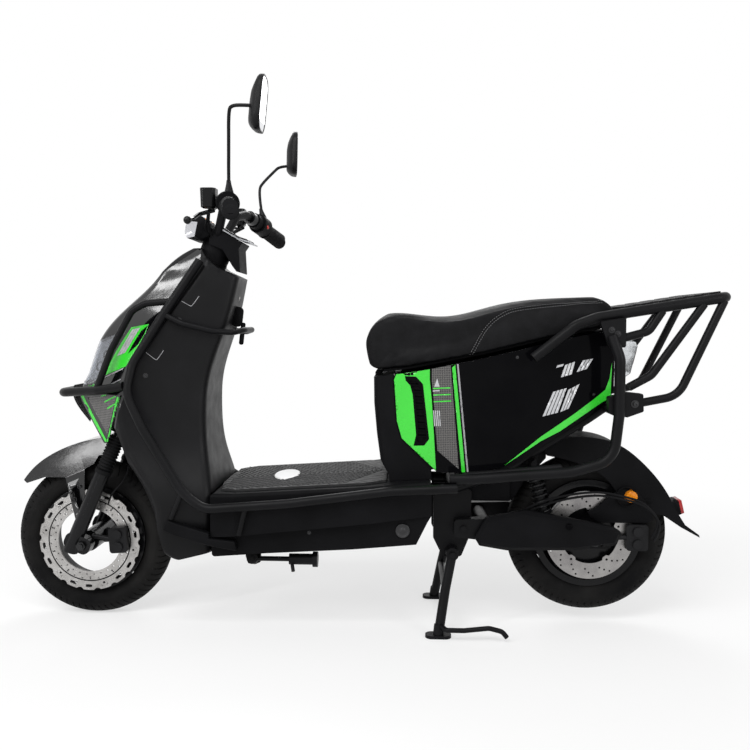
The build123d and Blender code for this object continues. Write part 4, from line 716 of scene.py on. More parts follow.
def sew(holder):
    """Presses the seams into the cushion and returns their twin stitching."""
    skin = skin_from(holder.data)
    seams, stitches = [], []
    for side in SIDES:
        met = [seen_from(skin, point, side) for point in smooth_line(SEAM, SEAM_STEP)]
        line = [(hit, normal) for hit, normal in met if hit is not None]
        seams += [hit for hit, _ in line]
        for (start, first), (end, _) in zip(line[::3], line[2::3]):
            run = (end - start).normalized()
            aside = first.cross(run).normalized()
            for shift in (-STITCH_SHIFT, STITCH_SHIFT):
                near, out, *_ = skin.find_nearest((start + end) / 2 + aside * shift)
                stitches.append(stitch(near + out * STITCH_LIFT, run, out))
    tree = KDTree(len(seams))
    for index, point in enumerate(seams):
        tree.insert(point, index)
    tree.balance()
    for vertex in holder.data.vertices:
        distance = tree.find(vertex.co)[2]
        if distance < SEAM_REACH:
            vertex.co -= vertex.normal * (SEAM_DEPTH * exp(-(distance / SEAM_SPREAD) ** 2))
    return stitches


def build_seat():
    """Cushion swelled by cloth pressure, then its sewn seams and twin stitching."""
    holder = placed("seat_cushion", frame["nodes"]["seat"].data.copy())
    holder.data.materials.clear()
    holder.data.materials.append(seat_leather)
    remesh = holder.modifiers.new("skin", "REMESH")
    remesh.mode, remesh.voxel_size = "VOXEL", VOXEL
    settle(holder)
    crown(holder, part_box("seat")[1].y)
    swell(holder)
    subdivide = holder.modifiers.new("fine", "SUBSURF")
    subdivide.levels = subdivide.render_levels = 1
    settle(holder)
    stitches = sew(holder)
    holder.data.shade_smooth()
    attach(holder, SEAT)
    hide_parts("seat")
    piece_from(stitches, "seat_stitching", SEAT, thread)


build_seat()


# ---- tyres ---------------------------------------------------------------
def arc_through(a, b, c, count):
    """Evenly turned points from a to c on the circle through b, as (side, radius)."""
    (ax, ay), (bx, by), (cx, cy) = a, b, c
    aa, bb, cc = ax * ax + ay * ay, bx * bx + by * by, cx * cx + cy * cy
    d = 2 * (ax * (by - cy) + bx * (cy - ay) + cx * (ay - by))
    ux = (aa * (by - cy) + bb * (cy - ay) + cc * (ay - by)) / d
    uy = (aa * (cx - bx) + bb * (ax - cx) + cc * (bx - ax)) / d
    radius = hypot(ax - ux, ay - uy)
    first, last = atan2(ay - uy, ax - ux), atan2(cy - uy, cx - ux)
    turns = [first + (last - first) * k / count for k in range(count + 1)]
    return [(ux + radius * cos(turn), uy + radius * sin(turn)) for turn in turns]


TYRE_RADIUS, TYRE_HALF, CROWN_DEPTH = 205.0, 39.0, 17
BEAD, FLANGE, BELLY = 27.0, 139.0, 167.0
SHOULDER = (TYRE_HALF - 7, TYRE_RADIUS - CROWN_DEPTH)
# Where each pitch of the tread is cut, as shares; a shoulder groove lies at the second and third.
PITCHES, CUTS, GROOVE_CUTS = 66, (0.0, 0.05, 0.21, 0.26, 0.42, 0.6, 0.8), (1, 2)
GROOVE_DEPTH, FADE_DEPTH, WALL_BULGE = 3.4, 1.4, 0.8
# How far the centre groove swings, and how far out that, the slant and the tread itself reach.
ZIGZAG, ZIGZAG_REACH, TREAD_REACH = 2.2, 11, 33
SLANT, SLANT_START, SLANT_END = 0.55, 12, 34


def tyre_rows():
    """Rows of the tyre's section from its centre out: (side, radius, kind of row)."""
    sag = (SHOULDER[0] ** 2 + CROWN_DEPTH ** 2) / (2 * CROWN_DEPTH)
    rows = [(side, TYRE_RADIUS - sag + (sag * sag - side * side) ** 0.5, kind) for side, kind in (
        (2.2, "floor"), (3.0, "edge"), (6, "edge"), (9, "edge"), (11.4, "plain"), (12, "block"),
        (16, "block"), (20, "block"), (24, "block"), (28, "block"), (31, "block"))]
    wall = arc_through(SHOULDER, (TYRE_HALF, BELLY), (BEAD, FLANGE), 12)
    for index, (side, height) in enumerate(wall):
        kind = "block" if index < 2 else "fade" if index == 2 else "plain"
        rows.append((side + (WALL_BULGE if index in (4, 5) else 0.0), height, kind))
    return rows + [(BEAD - 7, FLANGE, "plain"), (TYRE_HALF - 8, BELLY, "plain"),
                   (20, TYRE_RADIUS - 14, "plain")]


def tyre_point(row, column, sign):
    """Place of a corner on one side (sign) of the tyre, in millimetres from the wheel's centre."""
    side, height, kind = row
    pitch, cut = divmod(column, len(CUTS))
    share = (pitch + CUTS[cut]) / PITCHES
    slant = SLANT * max(0.0, min(side, SLANT_END) - SLANT_START) / (2 * pi * TYRE_RADIUS)
    angle = 2 * pi * (share + slant + (0.5 / PITCHES if sign < 0 else 0))
    depth = GROOVE_DEPTH if kind == "floor" else 0.0
    if cut in GROOVE_CUTS:
        depth += {"block": GROOVE_DEPTH, "fade": FADE_DEPTH}.get(kind, 0.0)
    wave = max(0.0, ZIGZAG * (1 - side / ZIGZAG_REACH)) * sin(pi * share * PITCHES)
    if side < TREAD_REACH:
        height -= depth
    else:
        side -= depth
    return Vector((height * cos(angle), sign * side + wave, height * sin(angle)))


def build_tyre(name, node, body, axle):
    """Tyre with a zigzag centre groove and slanted shoulder grooves cut into its tread."""
    shape = bmesh.new()
    rows = tyre_rows()
    left, right = ([[shape.verts.new(axle + tyre_point(row, column, sign) * MM)
                     for column in range(PITCHES * len(CUTS))] for row in rows] for sign in SIDES)
    bridge(shape, [*left[::-1], *right, left[-1]])
    bmesh.ops.recalc_face_normals(shape, faces=shape.faces)
    made = piece_from(shape, name, body, tyre_rubber, 38)
    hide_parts(node)


build_tyre("front_tyre_treaded", "front_tyre", "front_wheel", FRONT_AXLE)
build_tyre("rear_tyre_treaded", "rear_tyre", "rear_wheel", REAR_AXLE)


# ---- panels brought closer to the real nose ------------------------------
def reshaped(node, body, move):
    """Stands for a CAD node with every point of its mesh moved by a function."""
    shape = welded(frame["nodes"][node].data)
    for vertex in shape.verts:
        vertex.co = move(vertex.co)
    shape.normal_update()
    made = piece_from(shape, node + "_shaped", body, NODE_FINISH[node], 30)
    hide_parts(node)
    SHOWN[node] = made


def limited(value, low=0.0, high=1.0):
    """A value kept between two."""
    return min(max(value, low), high)


# Height, widest place and its half width, then the nose's place and half width
# in the plain part and in the real one; places are forward of the front axle.
NOSE_ROWS = (
    (380, -190, 166, -100, 90, -112, 118), (456, -140, 152, -48, 52, -80, 124),
    (520, -120, 148, 2, 50, -30, 88), (588, -120, 150, 38, 60, 14, 66),
    (640, -140, 146, 20, 66, -6, 62), (720, -190, 132, -16, 62, -33, 60),
    (820, -260, 112, -104, 54, -118, 52), (900, -310, 88, -182, 46, -194, 46),
    (964, -335, 70, -256, 38, -284, 38),
)


def nose_row(height):
    """What NOSE_ROWS gives at a height, between its rows and without the height itself."""
    height = limited(height, NOSE_ROWS[0][0], NOSE_ROWS[-1][0] - 0.01)
    low, high = next(pair for pair in zip(NOSE_ROWS, NOSE_ROWS[1:]) if height < pair[1][0])
    share = (height - low[0]) / (high[0] - low[0])
    return [a + (b - a) * share for a, b in zip(low[1:], high[1:])]


def nose_move(point):
    """Draws the nose back, and spreads the chin to both sides of the fender."""
    wide_x, wide, old_x, old, new_x, new = nose_row(point.z / MM)
    ahead = limited(((point.x - FRONT_AXLE.x) / MM - wide_x) / (old_x - wide_x), high=1.15)
    spread = (wide - ahead * (wide - new)) / (wide - ahead * (wide - old))
    return Vector((point.x + ahead * (new_x - old_x) * MM, point.y * spread, point.z))


# Heights in mm over which the cowl and the fender's cheeks go from kept to fully moved.
COWL_KEPT, COWL_MOVED = 640, 720
CHEEK_KEPT, CHEEK_MOVED = 380, 345
CHEEK_INSIDE, CHEEK_OUTWARD = 54 * MM, 0.9 * MM
LAMP_BACK, LAMP_NARROWING = 12 * MM, 56 / 62
DASH_EDGE, DASH_DRAW = FRONT_AXLE.x - 380 * MM, 0.4


def cowl_move(point):
    """As the nose, but the part under the lamp keeps its place, clear of the fork."""
    return point.lerp(nose_move(point), limited((point.z / MM - COWL_KEPT) / (COWL_MOVED - COWL_KEPT)))


def fender_move(point):
    """Lower cheeks of the fender, set outward so that the disc's bolts pass."""
    if abs(point.y) <= CHEEK_INSIDE:
        return point
    share = limited((CHEEK_KEPT - point.z / MM) / (CHEEK_KEPT - CHEEK_MOVED))
    return point + LEFT * (CHEEK_OUTWARD * share * (1 if point.y > 0 else -1))


def lamp_move(point):
    """Handlebar lamp, a little narrower and further back."""
    return Vector((point.x - LAMP_BACK, point.y * LAMP_NARROWING, point.z))


def dash_move(point):
    """Cover of the dash, drawn in behind its overhanging edge."""
    return Vector((point.x + max(DASH_EDGE - point.x, 0) * DASH_DRAW, point.y, point.z))


for shell, shell_body, shell_slot, shell_move in (
        ("leg_shield", FRAME, "matte_black", nose_move), ("nose_panels", FRAME, "gloss_black", nose_move),
        ("front_cowl", FRAME, "matte_black", cowl_move), ("headlight_lens", FRAME, "clear_lens", nose_move),
        ("front_fender", STEERING, "gloss_black", fender_move),
        ("headlamp", STEERING, "clear_lens", lamp_move),
        ("instrument_panel", STEERING, "matte_black", dash_move)):
    reshaped(shell, shell_body, shell_move)


# ---- forms added to the frame --------------------------------------------
def build_ledges():
    """Ledges beside the front of the belly, and the controller's housing behind it."""
    ledge = traced(front, (-232, 269), (-244, 294), (-265, 285), (-345, 262), (-345, 249), (-408, 243),
                   (-413, 220), (-340, 233), (-262, 256))
    piece_from([prism_shape(ledge, side * 163, side * 186, 3) for side in SIDES],
               "deck_ledges", FRAME, matte, 35)
    box = traced(rear, (200, 322), (334, 322), (334, 392), (236, 392), (200, 374))
    liner = traced(rear, (200, 322), (188, 334), (170, 366), (152, 392), (130, 412), (112, 432),
                   (112, 452), (190, 452), (240, 400), (240, 330))
    piece_from([prism_shape(box, -62, 62, 6), prism_shape(liner, -52, 52, 2)],
               "controller_housing", FRAME, matte, 35)


# Cheeks of the chin: rows by height, the rear edge at the lowest and highest, and how far they
# stand out from the nose, in mm.
CHIN_HEIGHTS, CHIN_COLUMNS = (470, 480, 495, 512, 530, 550, 570, 592), 8
CHIN_BACK_LOW, CHIN_BACK_HIGH, CHIN_LIFT, CHIN_THICKNESS = -79, -125, 0.9, 3 * MM


def build_chin():
    """Pointed cheeks that run down on both sides of the fender."""
    shape = bmesh.new()
    lowest, highest = CHIN_HEIGHTS[0], CHIN_HEIGHTS[-1]
    for side in SIDES:
        rows = []
        for height in CHIN_HEIGHTS:
            wide_x, wide, _, _, tip, narrow = nose_row(height)
            rise = (height - lowest) / (highest - lowest)
            back = CHIN_BACK_LOW + (CHIN_BACK_HIGH - CHIN_BACK_LOW) * rise
            row = []
            for k in range(CHIN_COLUMNS + 1):
                x = tip + (back - tip) * k / CHIN_COLUMNS
                half = narrow + (wide - narrow) * (x - tip) / (wide_x - tip) + CHIN_LIFT
                row.append(shape.verts.new(front(x, height, side * half)))
            rows.append(row[::-side])
        bridge(shape, rows, closed=False)
    shape.normal_update()
    bmesh.ops.solidify(shape, geom=shape.faces[:], thickness=CHIN_THICKNESS)
    bmesh.ops.recalc_face_normals(shape, faces=shape.faces)
    # Solidify gives the faces of its rim in no fixed order, and the stickers need the same each run.
    in_order(shape.verts, lambda corner: corner.co)
    in_order(shape.faces, lambda face: face.calc_center_median())
    SHOWN["chin_cheeks"] = piece_from(shape, "chin_cheeks", FRAME, nose_gloss, 35)


def build_shroud():
    """Cover round the steering column between the dash and the leg shield."""
    turning = joint("steering_turn")
    pivot, rise = Vector(turning["pos_m"]), Vector(turning["axis"]).normalized()
    low, high = (pivot + rise * ((level * MM - pivot.z) / rise.z) for level in (902, 986))
    tall = (high - low).length / MM
    profile = [(r, tall * share) for r, share in (
        (26, 0), (36, 0.01), (38, 0.06), (39, 0.3), (40, 0.31), (40, 0.34), (39, 0.35), (41, 0.9),
        (38, 0.99), (20, 1))]
    piece_from(turned(profile, facing(rise, low, Vector((1, 0, 0))), 48), "column_shroud",
               STEERING, matte, 35)


def build_hugger():
    """Plate over the upper rear of the back wheel, behind the round lamps."""
    plate = traced(rear, (10, 300), (-11, 309), (-46, 340), (-72, 359), (-113, 355), (-141, 319),
                   (-157, 280), (-140, 272), (-29, 272), (0, 285))
    plates = []
    for side in SIDES:
        plates.append(prism_shape(plate, side * 62.6, side * 66.4, 1.2))
        for z in (330, 318):
            slot = traced(rear, (-118, z), (-150, z + 2), (-150, z - 1), (-118, z - 3))
            plates.append(prism_shape(slot, side * 66, side * 67.6, 0.5))
    piece_from(plates, "wheel_hugger", FRAME, matte, 35)


build_ledges()
build_chin()
build_shroud()
build_hugger()


# ---- coloured vinyl ------------------------------------------------------
def bars(low, high, count, share=0.78):
    """Slanted bars side by side between two lines, each given by its two ends."""
    def along(ends, t):
        return [a + (b - a) * t for a, b in zip(*ends)]

    return [[along(low, k / count), along(low, (k + share) / count),
             along(high, (k + share) / count), along(high, k / count)] for k in range(count)]


LOUVRE = traced(rear, (470, 643), (443, 642), (426, 624), (410, 490), (422, 474), (448, 473),
                (442, 500), (451, 598), (457, 620), (468, 632))

# Green front round the side vent.
decals("side_panels", rear, [("side_green_panel", green, 0.4, [
    (491, 647), (496, 634), (488.5, 533), (476.5, 491), (393, 413), (399, 505), (404.5, 584),
    (410, 636), (410, 660), (460, 651)])], holes=[LOUVRE])
# Printed carbon band, stripe, thin line, swoosh, silver bars and the marks on the band.
decals("side_panels", rear, [
    ("side_carbon_band", carbon, 0.4, [
        (405, 661), (405, 636), (399.5, 584), (394, 505), (389.5, 462), (338, 418), (345, 500),
        (360, 670)]),
    ("side_green_stripe", green, 0.4, [(357, 671), (349, 672), (322, 410), (330.5, 410)]),
    ("side_grey_line", grey_line, 0.4, [(345, 673), (341, 673), (314, 410), (318, 410)]),
    ("side_green_swoosh", green, 0.4, [
        (227, 427.5), (140, 487), (94, 511), (-8, 581), (-29.5, 592), (-31, 680), (-26, 640),
        (-16, 612), (8, 592), (60, 553), (140, 498)]),
    ("side_silver_bars", silver, 0.4,
     *bars(((94, 642), (66, 650)), ((84, 672), (58, 681)), 3),
     *bars(((56, 655), (29, 663)), ((41, 683), (14, 688)), 3),
     *bars(((137, 547), (98, 557)), ((112, 607), (77, 617)), 4),
     *bars(((94, 558), (72, 567)), ((75, 612), (46, 627)), 3),
     [(106, 665), (90, 669), (87, 675), (103, 671)]),
    ("side_green_dashes", green, 0.6, *(
        [(x, z), (x - 42, z + 2), (x - 42, z + 5), (x, z + 3)]
        for x, z in ((402, 612), (401, 596), (400, 580)))),
    ("side_white_marks", silver, 0.8,
     [(399, 618), (386, 618), (392, 638)],
     *bars(((398, 522), (380, 522)), ((401, 560), (383, 560)), 4, 0.5),
     [(402, 606), (386, 607), (386, 610), (402, 609)]),
])
# Green and silver panel of the nose, with its lines.
decals("nose_panels", front, [
    ("nose_green_panel", green, 0.4, [
        (-131, 758), (-181, 766), (-175, 745), (-161, 716), (-130, 662), (-63, 636), (-95, 699)]),
    ("nose_silver_block", silver, 0.8,
     *bars(((-99, 686), (-123, 695)), ((-135, 752), (-158, 757)), 3, 0.94)),
    ("nose_black_block", gloss, 0.8, [
        (-161, 748), (-179, 763), (-172, 742), (-158, 716), (-131, 692), (-140, 712)]),
    ("nose_grey_lines", grey_line, 0.6,
     [(-62, 632), (-124, 659), (-123, 655), (-61, 628)],
     [(-92, 619), (-120, 632), (-119, 629), (-91, 616)]),
], spacing=5)
# Chin with carbon print and green edges, the corner of the nose above it, and the chin's dashes.
decals("chin_cheeks", front, [
    ("chin_carbon", carbon, 0.4, [(-14, 584), (-112, 588), (-79, 492), (-50, 532)]),
    ("chin_green_strips", green, 0.4,
     [(-123, 589), (-114, 589), (-76, 473), (-81, 473)],
     [(10, 588), (-1, 586), (-38, 530), (-76, 478), (-73, 472), (-36, 516)]),
], spacing=5)
decals("nose_panels", front, [
    ("nose_green_corner", green, 0.4, [(-12, 612), (-36, 640), (-27, 606)]),
], spacing=5)
decals("chin_cheeks", front, [
    ("chin_green_dashes", green, 0.8,
     [(-61, 584), (-90, 593), (-92, 597), (-63, 588)],
     [(-73, 571), (-111, 589), (-113, 593), (-75, 576)],
     [(-81, 555), (-126, 578), (-127, 582), (-83, 560)]),
], spacing=5)
# Bright hooked seams on the leg shield.
piece_from([
    tube_shape([on_skin("leg_shield", point, side)[0] for point in hook], 0.8, 8, 4)
    for side in SIDES for hook in (
        traced(front, (-265, 823), (-284, 811), (-289, 811), (-305, 836)),
        traced(front, (-182, 697), (-203, 678), (-208, 679), (-222, 702)))
], "shield_seam_lines", FRAME, grey_line)


# ---- lamps ---------------------------------------------------------------
def outward_from(place):
    """Test for faces that look away from a place inside the part."""
    return lambda face: (face.calc_center_median() - place).dot(face.normal) > 0


def ring_profile(radius, width, height):
    """Raised bezel ring, as lathe points."""
    return [(radius, 0), (radius + 0.4, height * 0.7), (radius + width * 0.3, height),
            (radius + width * 0.7, height), (radius + width, height * 0.6), (radius + width, -1)]


def glint(name, node, point, along, size, power, reach=2.6):
    """Strip lamp, long way along, that the camera sees mirrored in a node's skin at a point."""
    hit, normal = on_skin(node, point)
    view = (bpy.context.scene.camera.matrix_world.translation - hit).normalized()
    away = 2 * normal.dot(view) * normal - view
    strip_lamp(name, size, power, facing(away, hit + away * reach, along))


def build_headlight():
    """Bright bowl behind the clear nose lens, with three ringed lamps a side."""
    bowl = peeled("headlight_lens", -9, keep=outward_from(front(-170, 660)))
    piece_from(bowl, "headlight_bowl", FRAME, bowl_grey)
    spots = [on_skin("headlight_lens", front(x, z), side)
             for side in SIDES for x, z in ((-78, 716), (-60, 690), (-40, 660))]
    bases = [facing(normal, hit - normal * (8.4 * MM)) for hit, normal in spots]
    piece_from([turned(ring_profile(9, 4, 2.5), base, 32) for base in bases],
               "headlight_rings", FRAME, gloss)
    piece_from([turned([(0, 1), (5, 0.8), (9, 0.2)], base, 32) for base in bases],
               "headlight_cores", FRAME, reflector)


def build_upper_lamp():
    """Bright lens on the front of the handlebar lamp, with its amber markers."""
    cuts = [(front(-289, 1010), Vector((0.978, 0, 0.21))), (front(-280, 986), Vector((0.2, 0, 1))),
            (front(-280, 1024), Vector((0.1, 0, -1)))]
    lens = peeled("headlamp", 0.5, cuts, outward_from(front(-300, 1000)))
    piece_from(lens, "upper_lamp_lens", STEERING, lamp_face)
    piece_from([turned([(0, 4), (3, 3), (4.5, 0), (4.5, -5)],
                       facing(Vector((0.1, side, 0.5)), front(-307, 1031, side * 37)), 16)
                for side in SIDES], "upper_lamp_markers", STEERING, amber)


def build_tail_light():
    """Pale bowl in the clear tail lens and a red band across its back."""
    low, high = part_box("tail_light")
    bowl = peeled("tail_light", -1.5, keep=lambda face: face.normal.x < -0.3)
    piece_from(bowl, "tail_light_bowl", FRAME, reflector)
    band = peeled("tail_light", 0.5, [(low.lerp(high, 0.32), UP), (low.lerp(high, 0.66), -UP)],
                  keep=lambda face: face.normal.x < -0.2)
    piece_from(band, "tail_light_red_band", FRAME, red_lens)


def build_indicator_rims():
    """Black bezels round the two rear indicators, and the reflector's red face and hood."""
    rims = []
    for side in SIDES:
        hit, _ = on_skin("rear_indicators", rear(-86, 340), side)
        base = facing(side * LEFT, hit - side * 8 * MM * LEFT)
        rims.append(turned(ring_profile(22.5, 3.5, 5), base, 40))
    piece_from(rims, "indicator_rims", FRAME, matte)
    face = peeled("rear_indicators", 0.5, [(rear(-200, 300), Vector((-1, 0, 0)))],
                  keep=lambda face: face.normal.x < 0.9)
    piece_from(face, "rear_reflector_face", FRAME, red_lens)
    hood = peeled("rear_indicators", 0.9, [(rear(-236, 300), Vector((1, 0, -0.25))),
                                           (rear(-214, 300), Vector((-1, 0, 0)))],
                  keep=lambda face: abs(face.normal.y) > 0.6 or face.normal.z > 0.6)
    piece_from(hood, "rear_reflector_hood", FRAME, matte)


glint("nose_glint", "nose_panels", front(-245, 870), Vector((-0.62, 0, 0.78)), (0.1, 0.55), 2.0)
glint("fender_glint", "front_fender", front(58, 400), Vector((-1, 0, 0.5)), (0.1, 0.8), 2.6)
build_headlight()
build_upper_lamp()
build_tail_light()
build_indicator_rims()


# ---- handlebar -----------------------------------------------------------
BACK = Vector((-1, 0, 0.25))
GRIP_LENGTH, GRIP_RIBS, RIB_PITCH = 112, 22, 4.6
MIRROR_WIDE, MIRROR_TALL = 94, 122
STALKS = {
    1: ((-409, 1066, 218), (-409, 1098, 222), (-417, 1170, 254), (-424, 1238, 284), (-432, 1246, 288),
        (-452, 1247, 290), (-476, 1246, 288)),
    -1: ((-409, 1066, 218), (-403, 1090, 220), (-395, 1152, 231), (-404, 1170, 238),
         (-436, 1208, 256), (-450, 1222, 262), (-476, 1224, 266)),
}
HEADS = {1: (-494, 1256, 262), -1: (-496, 1256, 262)}
MIRROR_LOOK = {1: Vector((-1, -0.04, -0.1)), -1: Vector((-1, -0.18, -0.02))}
# Depth ahead of the middle, drop, and what the outline loses in size, with its corner radius.
MIRROR_SHELL = (
    (2.5, 0, 9, 27), (4, 0, 8, 28), (4.6, 0, 5, 30), (4, 0, 1, 32), (2, 0, 0, 32),
    (-6, 0, 1, 32), (-11, 2, 7, 31), (-17, 6, 22, 29), (-22, 10, 40, 22), (-25, 16, 62, 15))
MIRROR_GLASS = ((1.5, 0, 10, 27), (3.4, 0, 10, 27), (3.8, 0, 24, 22), (4.0, 0, 50, 12))


def slab(line, half_width, thickness, bevel):
    """Bent plate: a side-view line given thickness downwards and width to both sides."""
    return skinned([[point + Vector((0, y * half_width, -down * thickness)) * MM
                     for y, down in ((-1, 0), (1, 0), (1, 1), (-1, 1))] for point in line], bevel)


def build_grips():
    """Ribbed sleeves over the grips, with end caps and inner flanges."""
    profile = [(6, -0.6), (7, -1.6), (15, -1.6), (18.4, 0.5)]
    for rib in range(GRIP_RIBS):
        profile += [(18.3 + rise, 4 + rib * RIB_PITCH + along)
                    for rise, along in ((0, 0), (0.8, 0.8), (0.8, 2.4), (0, 3.2))]
    profile += [(22, GRIP_LENGTH - 5), (22, GRIP_LENGTH - 1), (18.3, GRIP_LENGTH - 0.5)]
    sleeves = []
    for side in SIDES:
        end, inner = front(-438, 1010, side * 335), front(-380, 1060, side * 120)
        sleeves.append(turned(profile, facing(inner - end, end), 48))
    piece_from(sleeves, "grip_sleeves", STEERING, soft_rubber, 40)


def button_shape(place, radius, height):
    """Round push button with a soft edge, on the rider's side of a housing."""
    return turned([(0, height), (radius * 0.75, height), (radius, height * 0.6), (radius, -3)],
                  facing(BACK, place), 24)


def build_controls():
    """Buttons on the switch housings, dash plate with its screen, and the cables."""
    red = button_shape(front(-424, 1042, -197), 7, 4)
    piece_from(red, "stop_button", STEERING, red_plastic)
    piece_from([button_shape(front(*place), 5, 3)
                for place in ((-417, 1052, 200), (-418, 1036, 196), (-417, 1056, -205))],
               "switch_buttons", STEERING, matte)
    plate = slab(traced(front, (-340, 1013), (-357, 1004), (-392, 984), (-424, 974)), 50, 3.4, 1)
    piece_from(plate, "dash_plate", STEERING, silver)
    cover = slab(traced(front, (-343, 1017), (-358, 1009), (-392, 989), (-416, 981)), 43, 5, 1.6)
    piece_from(cover, "dash_screen", STEERING, screen)
    piece_from([tube_shape([
        front(-352 + lean, 1034, side * (176 - lean)), front(-340, 1032, side * 130),
        front(-325 + lean, 1012, side * 78), front(-322 + lean, 990, side * (40 - lean)),
        front(-338 + lean, 968, side * 26), front(-352 + lean, 952, side * 14),
    ], 3.0, 10, 8) for side in SIDES for lean in (0, 9)],
        "control_cables", STEERING, soft_rubber)


def rounded(base, depth, wide, tall, corner, drop=0, steps=6):
    """Rounded rectangle of points at a depth along a matrix's Z, in millimetres."""
    ring = []
    for quarter, (x, y) in enumerate(((1, 1), (-1, 1), (-1, -1), (1, -1))):
        middle = Vector((x * (wide / 2 - corner), y * (tall / 2 - corner) - drop, depth))
        for k in range(steps + 1):
            turn = pi / 2 * (quarter + k / steps)
            ring.append(base @ ((middle + Vector((cos(turn), sin(turn), 0)) * corner) * MM))
    return ring


def build_mirrors():
    """Tall mirrors on bent stalks, deepest in their lower third where the stalk holds them."""
    shells, glasses = [], []
    for side in SIDES:
        x, z, y = HEADS[side]
        base = facing(MIRROR_LOOK[side], front(x, z, side * y))
        for shapes, rows in ((shells, MIRROR_SHELL), (glasses, MIRROR_GLASS)):
            shapes.append(skinned([
                rounded(base, depth, MIRROR_WIDE - less, MIRROR_TALL - less, corner, drop)
                for depth, drop, less, corner in rows]))
        stalk = [front(px, pz, side * py) for px, pz, py in STALKS[side]]
        shells.append(tube_shape(stalk, 4.0, 12, 8))
        shells.append(turned([(0, -24), (11, -24), (12, -20), (10.5, 4), (8, 14), (6, 22), (5, 30), (4, 31)],
                             facing(stalk[1] - stalk[0], stalk[0]), 24))
    made = piece_from(shells, "mirror_bodies", STEERING, cowl_matte, 50)
    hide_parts("mirrors")
    piece_from(glasses, "mirror_glass", STEERING, mirror_face, 50)


def build_key():
    """Lock with its key, ring and fob hanging behind the leg shield."""
    lock = turned([(0, 6), (7, 6), (9, 4), (9, -14)], facing(Vector((-1, 0, 0.3)), front(-378, 838)), 32)
    piece_from(lock, "ignition_lock", FRAME, chrome)
    loop = [front(-379, 826) + Vector((0, sin(k * pi / 8), cos(k * pi / 8))) * (12 * MM)
            for k in range(17)]
    wires = [tube_shape(loop, 0.9, 8, 4),
             tube_shape(traced(front, (-384, 840), (-388, 834), (-382, 826)), 1.4, 8, 4)]
    piece_from(wires, "key_ring", FRAME, steel)
    fobs = []
    for x, z, wide, tall, thick in ((-380, 786, 28, 52, 11), (-392, 742, 12, 58, 3)):
        base = facing(LEFT, front(x, z), Vector((-0.12, 0, 1)))
        fobs.append(skinned([rounded(base, depth * thick, wide - less, tall - less, (wide - less) * 0.42)
                             for depth, less in ((-0.5, 4), (-0.32, 0), (0.32, 0), (0.5, 4))]))
    piece_from(fobs, "key_fobs", FRAME, matte)


build_grips()
build_controls()
build_mirrors()
build_key()


# ---- springs, hoses and bolts --------------------------------------------
def coil_path(start, end, radius, turns, steps=14):
    """Helix between two points."""
    base = facing(end - start, start)
    length = (end - start).length
    return [base @ Vector((radius * MM * cos(2 * pi * k / steps), radius * MM * sin(2 * pi * k / steps),
                           length * k / (turns * steps)))
            for k in range(turns * steps + 1)]


def build_shocks():
    """Rear dampers with their springs, standing for the plain CAD ones."""
    bodies, springs = [], []
    for side in SIDES:
        top, low = rear(150, 428, side * 84), rear(120, 288, side * 84)
        length = (top - low).length / MM
        bodies.append(turned([
            (0, -9), (9, -8), (10, 4), (22, 12), (23, 15), (12, 16), (12, length * 0.55),
            (5.5, length * 0.56), (5.5, length - 18), (22, length - 17), (22, length - 13),
            (10, length - 8), (9, length + 6), (0, length + 8)], facing(top - low, low), 32))
        bodies.append(turned([(0, -9), (8, -9), (9, -7), (9, 7), (8, 9), (0, 9)], facing(LEFT, low), 24))
        springs.append(tube_shape(coil_path(low.lerp(top, 0.13), low.lerp(top, 0.88), 18.5, 8),
                                  3.2, 8, 3))
    body = piece_from(bodies, "rear_dampers", FRAME, cast_dark, 40)
    piece_from(springs, "rear_springs", FRAME, alloy_black)
    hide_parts("rear_shocks")


def build_hoses():
    """Brake hose and the hub motor's cables."""
    hose = tube_shape([front(-58, 306, 72), front(-66, 326, 80), front(-78, 342, 84),
                       front(-96, 360, 80), front(-108, 384, 70), front(-112, 420, 58)], 2.2, 10, 8)
    piece_from(hose, "front_brake_hose", STEERING, soft_rubber)
    route = ((176, 306, 96), (154, 322, 100), (100, 342, 104), (42, 355, 106), (-14, 359, 106),
             (-64, 349, 106), (-112, 337, 104), (-148, 305, 102), (-160, 272, 98), (-146, 240, 86))
    piece_from([tube_shape([rear(x - shift, z - drop, y) for x, z, y in route], 3.0, 10, 8)
                for drop, shift in ((0, 0), (8, 5))], "rear_cables", FRAME, soft_rubber)


# Ring of heads on the front disc: name, finish, count, first angle, distance from the axle, radius.
DISC_HEADS = (("front_disc_bolts", steel, 6, -12, 117, 4.6),
              ("front_disc_rivets", dark_steel, 10, 18, 98, 2.2))
# Cap screws on both sides of a piece: name, body, finish and (node, place, radius) rows.
CAP_SCREWS = (
    ("fender_bolts", STEERING, dark_steel, [
        ("front_fender", front(21, 347), 5), ("front_fender", front(37, 312), 5)]),
    ("guard_bolts", FRAME, dark_steel, [
        ("rear_guards", rear(-13, 757), 5), ("rear_guards", rear(-27, 748), 5),
        ("rear_guards", rear(-69, 584), 6), ("main_frame", rear(375, 362), 5),
        ("leg_shield", front(-259, 777), 4), ("leg_shield", front(-180, 640), 4)]),
    ("cover_bolts", FRAME, gloss, [("swingarm_cover", rear(67, 277), 6)]),
    ("panel_screws", FRAME, dark_steel, [
        ("side_panels", rear(12, 600), 2.6), ("side_panels", rear(200, 690), 2.6),
        ("leg_shield", front(-330, 470), 3), ("belly_cover", rear(700, 262), 3)]),
)


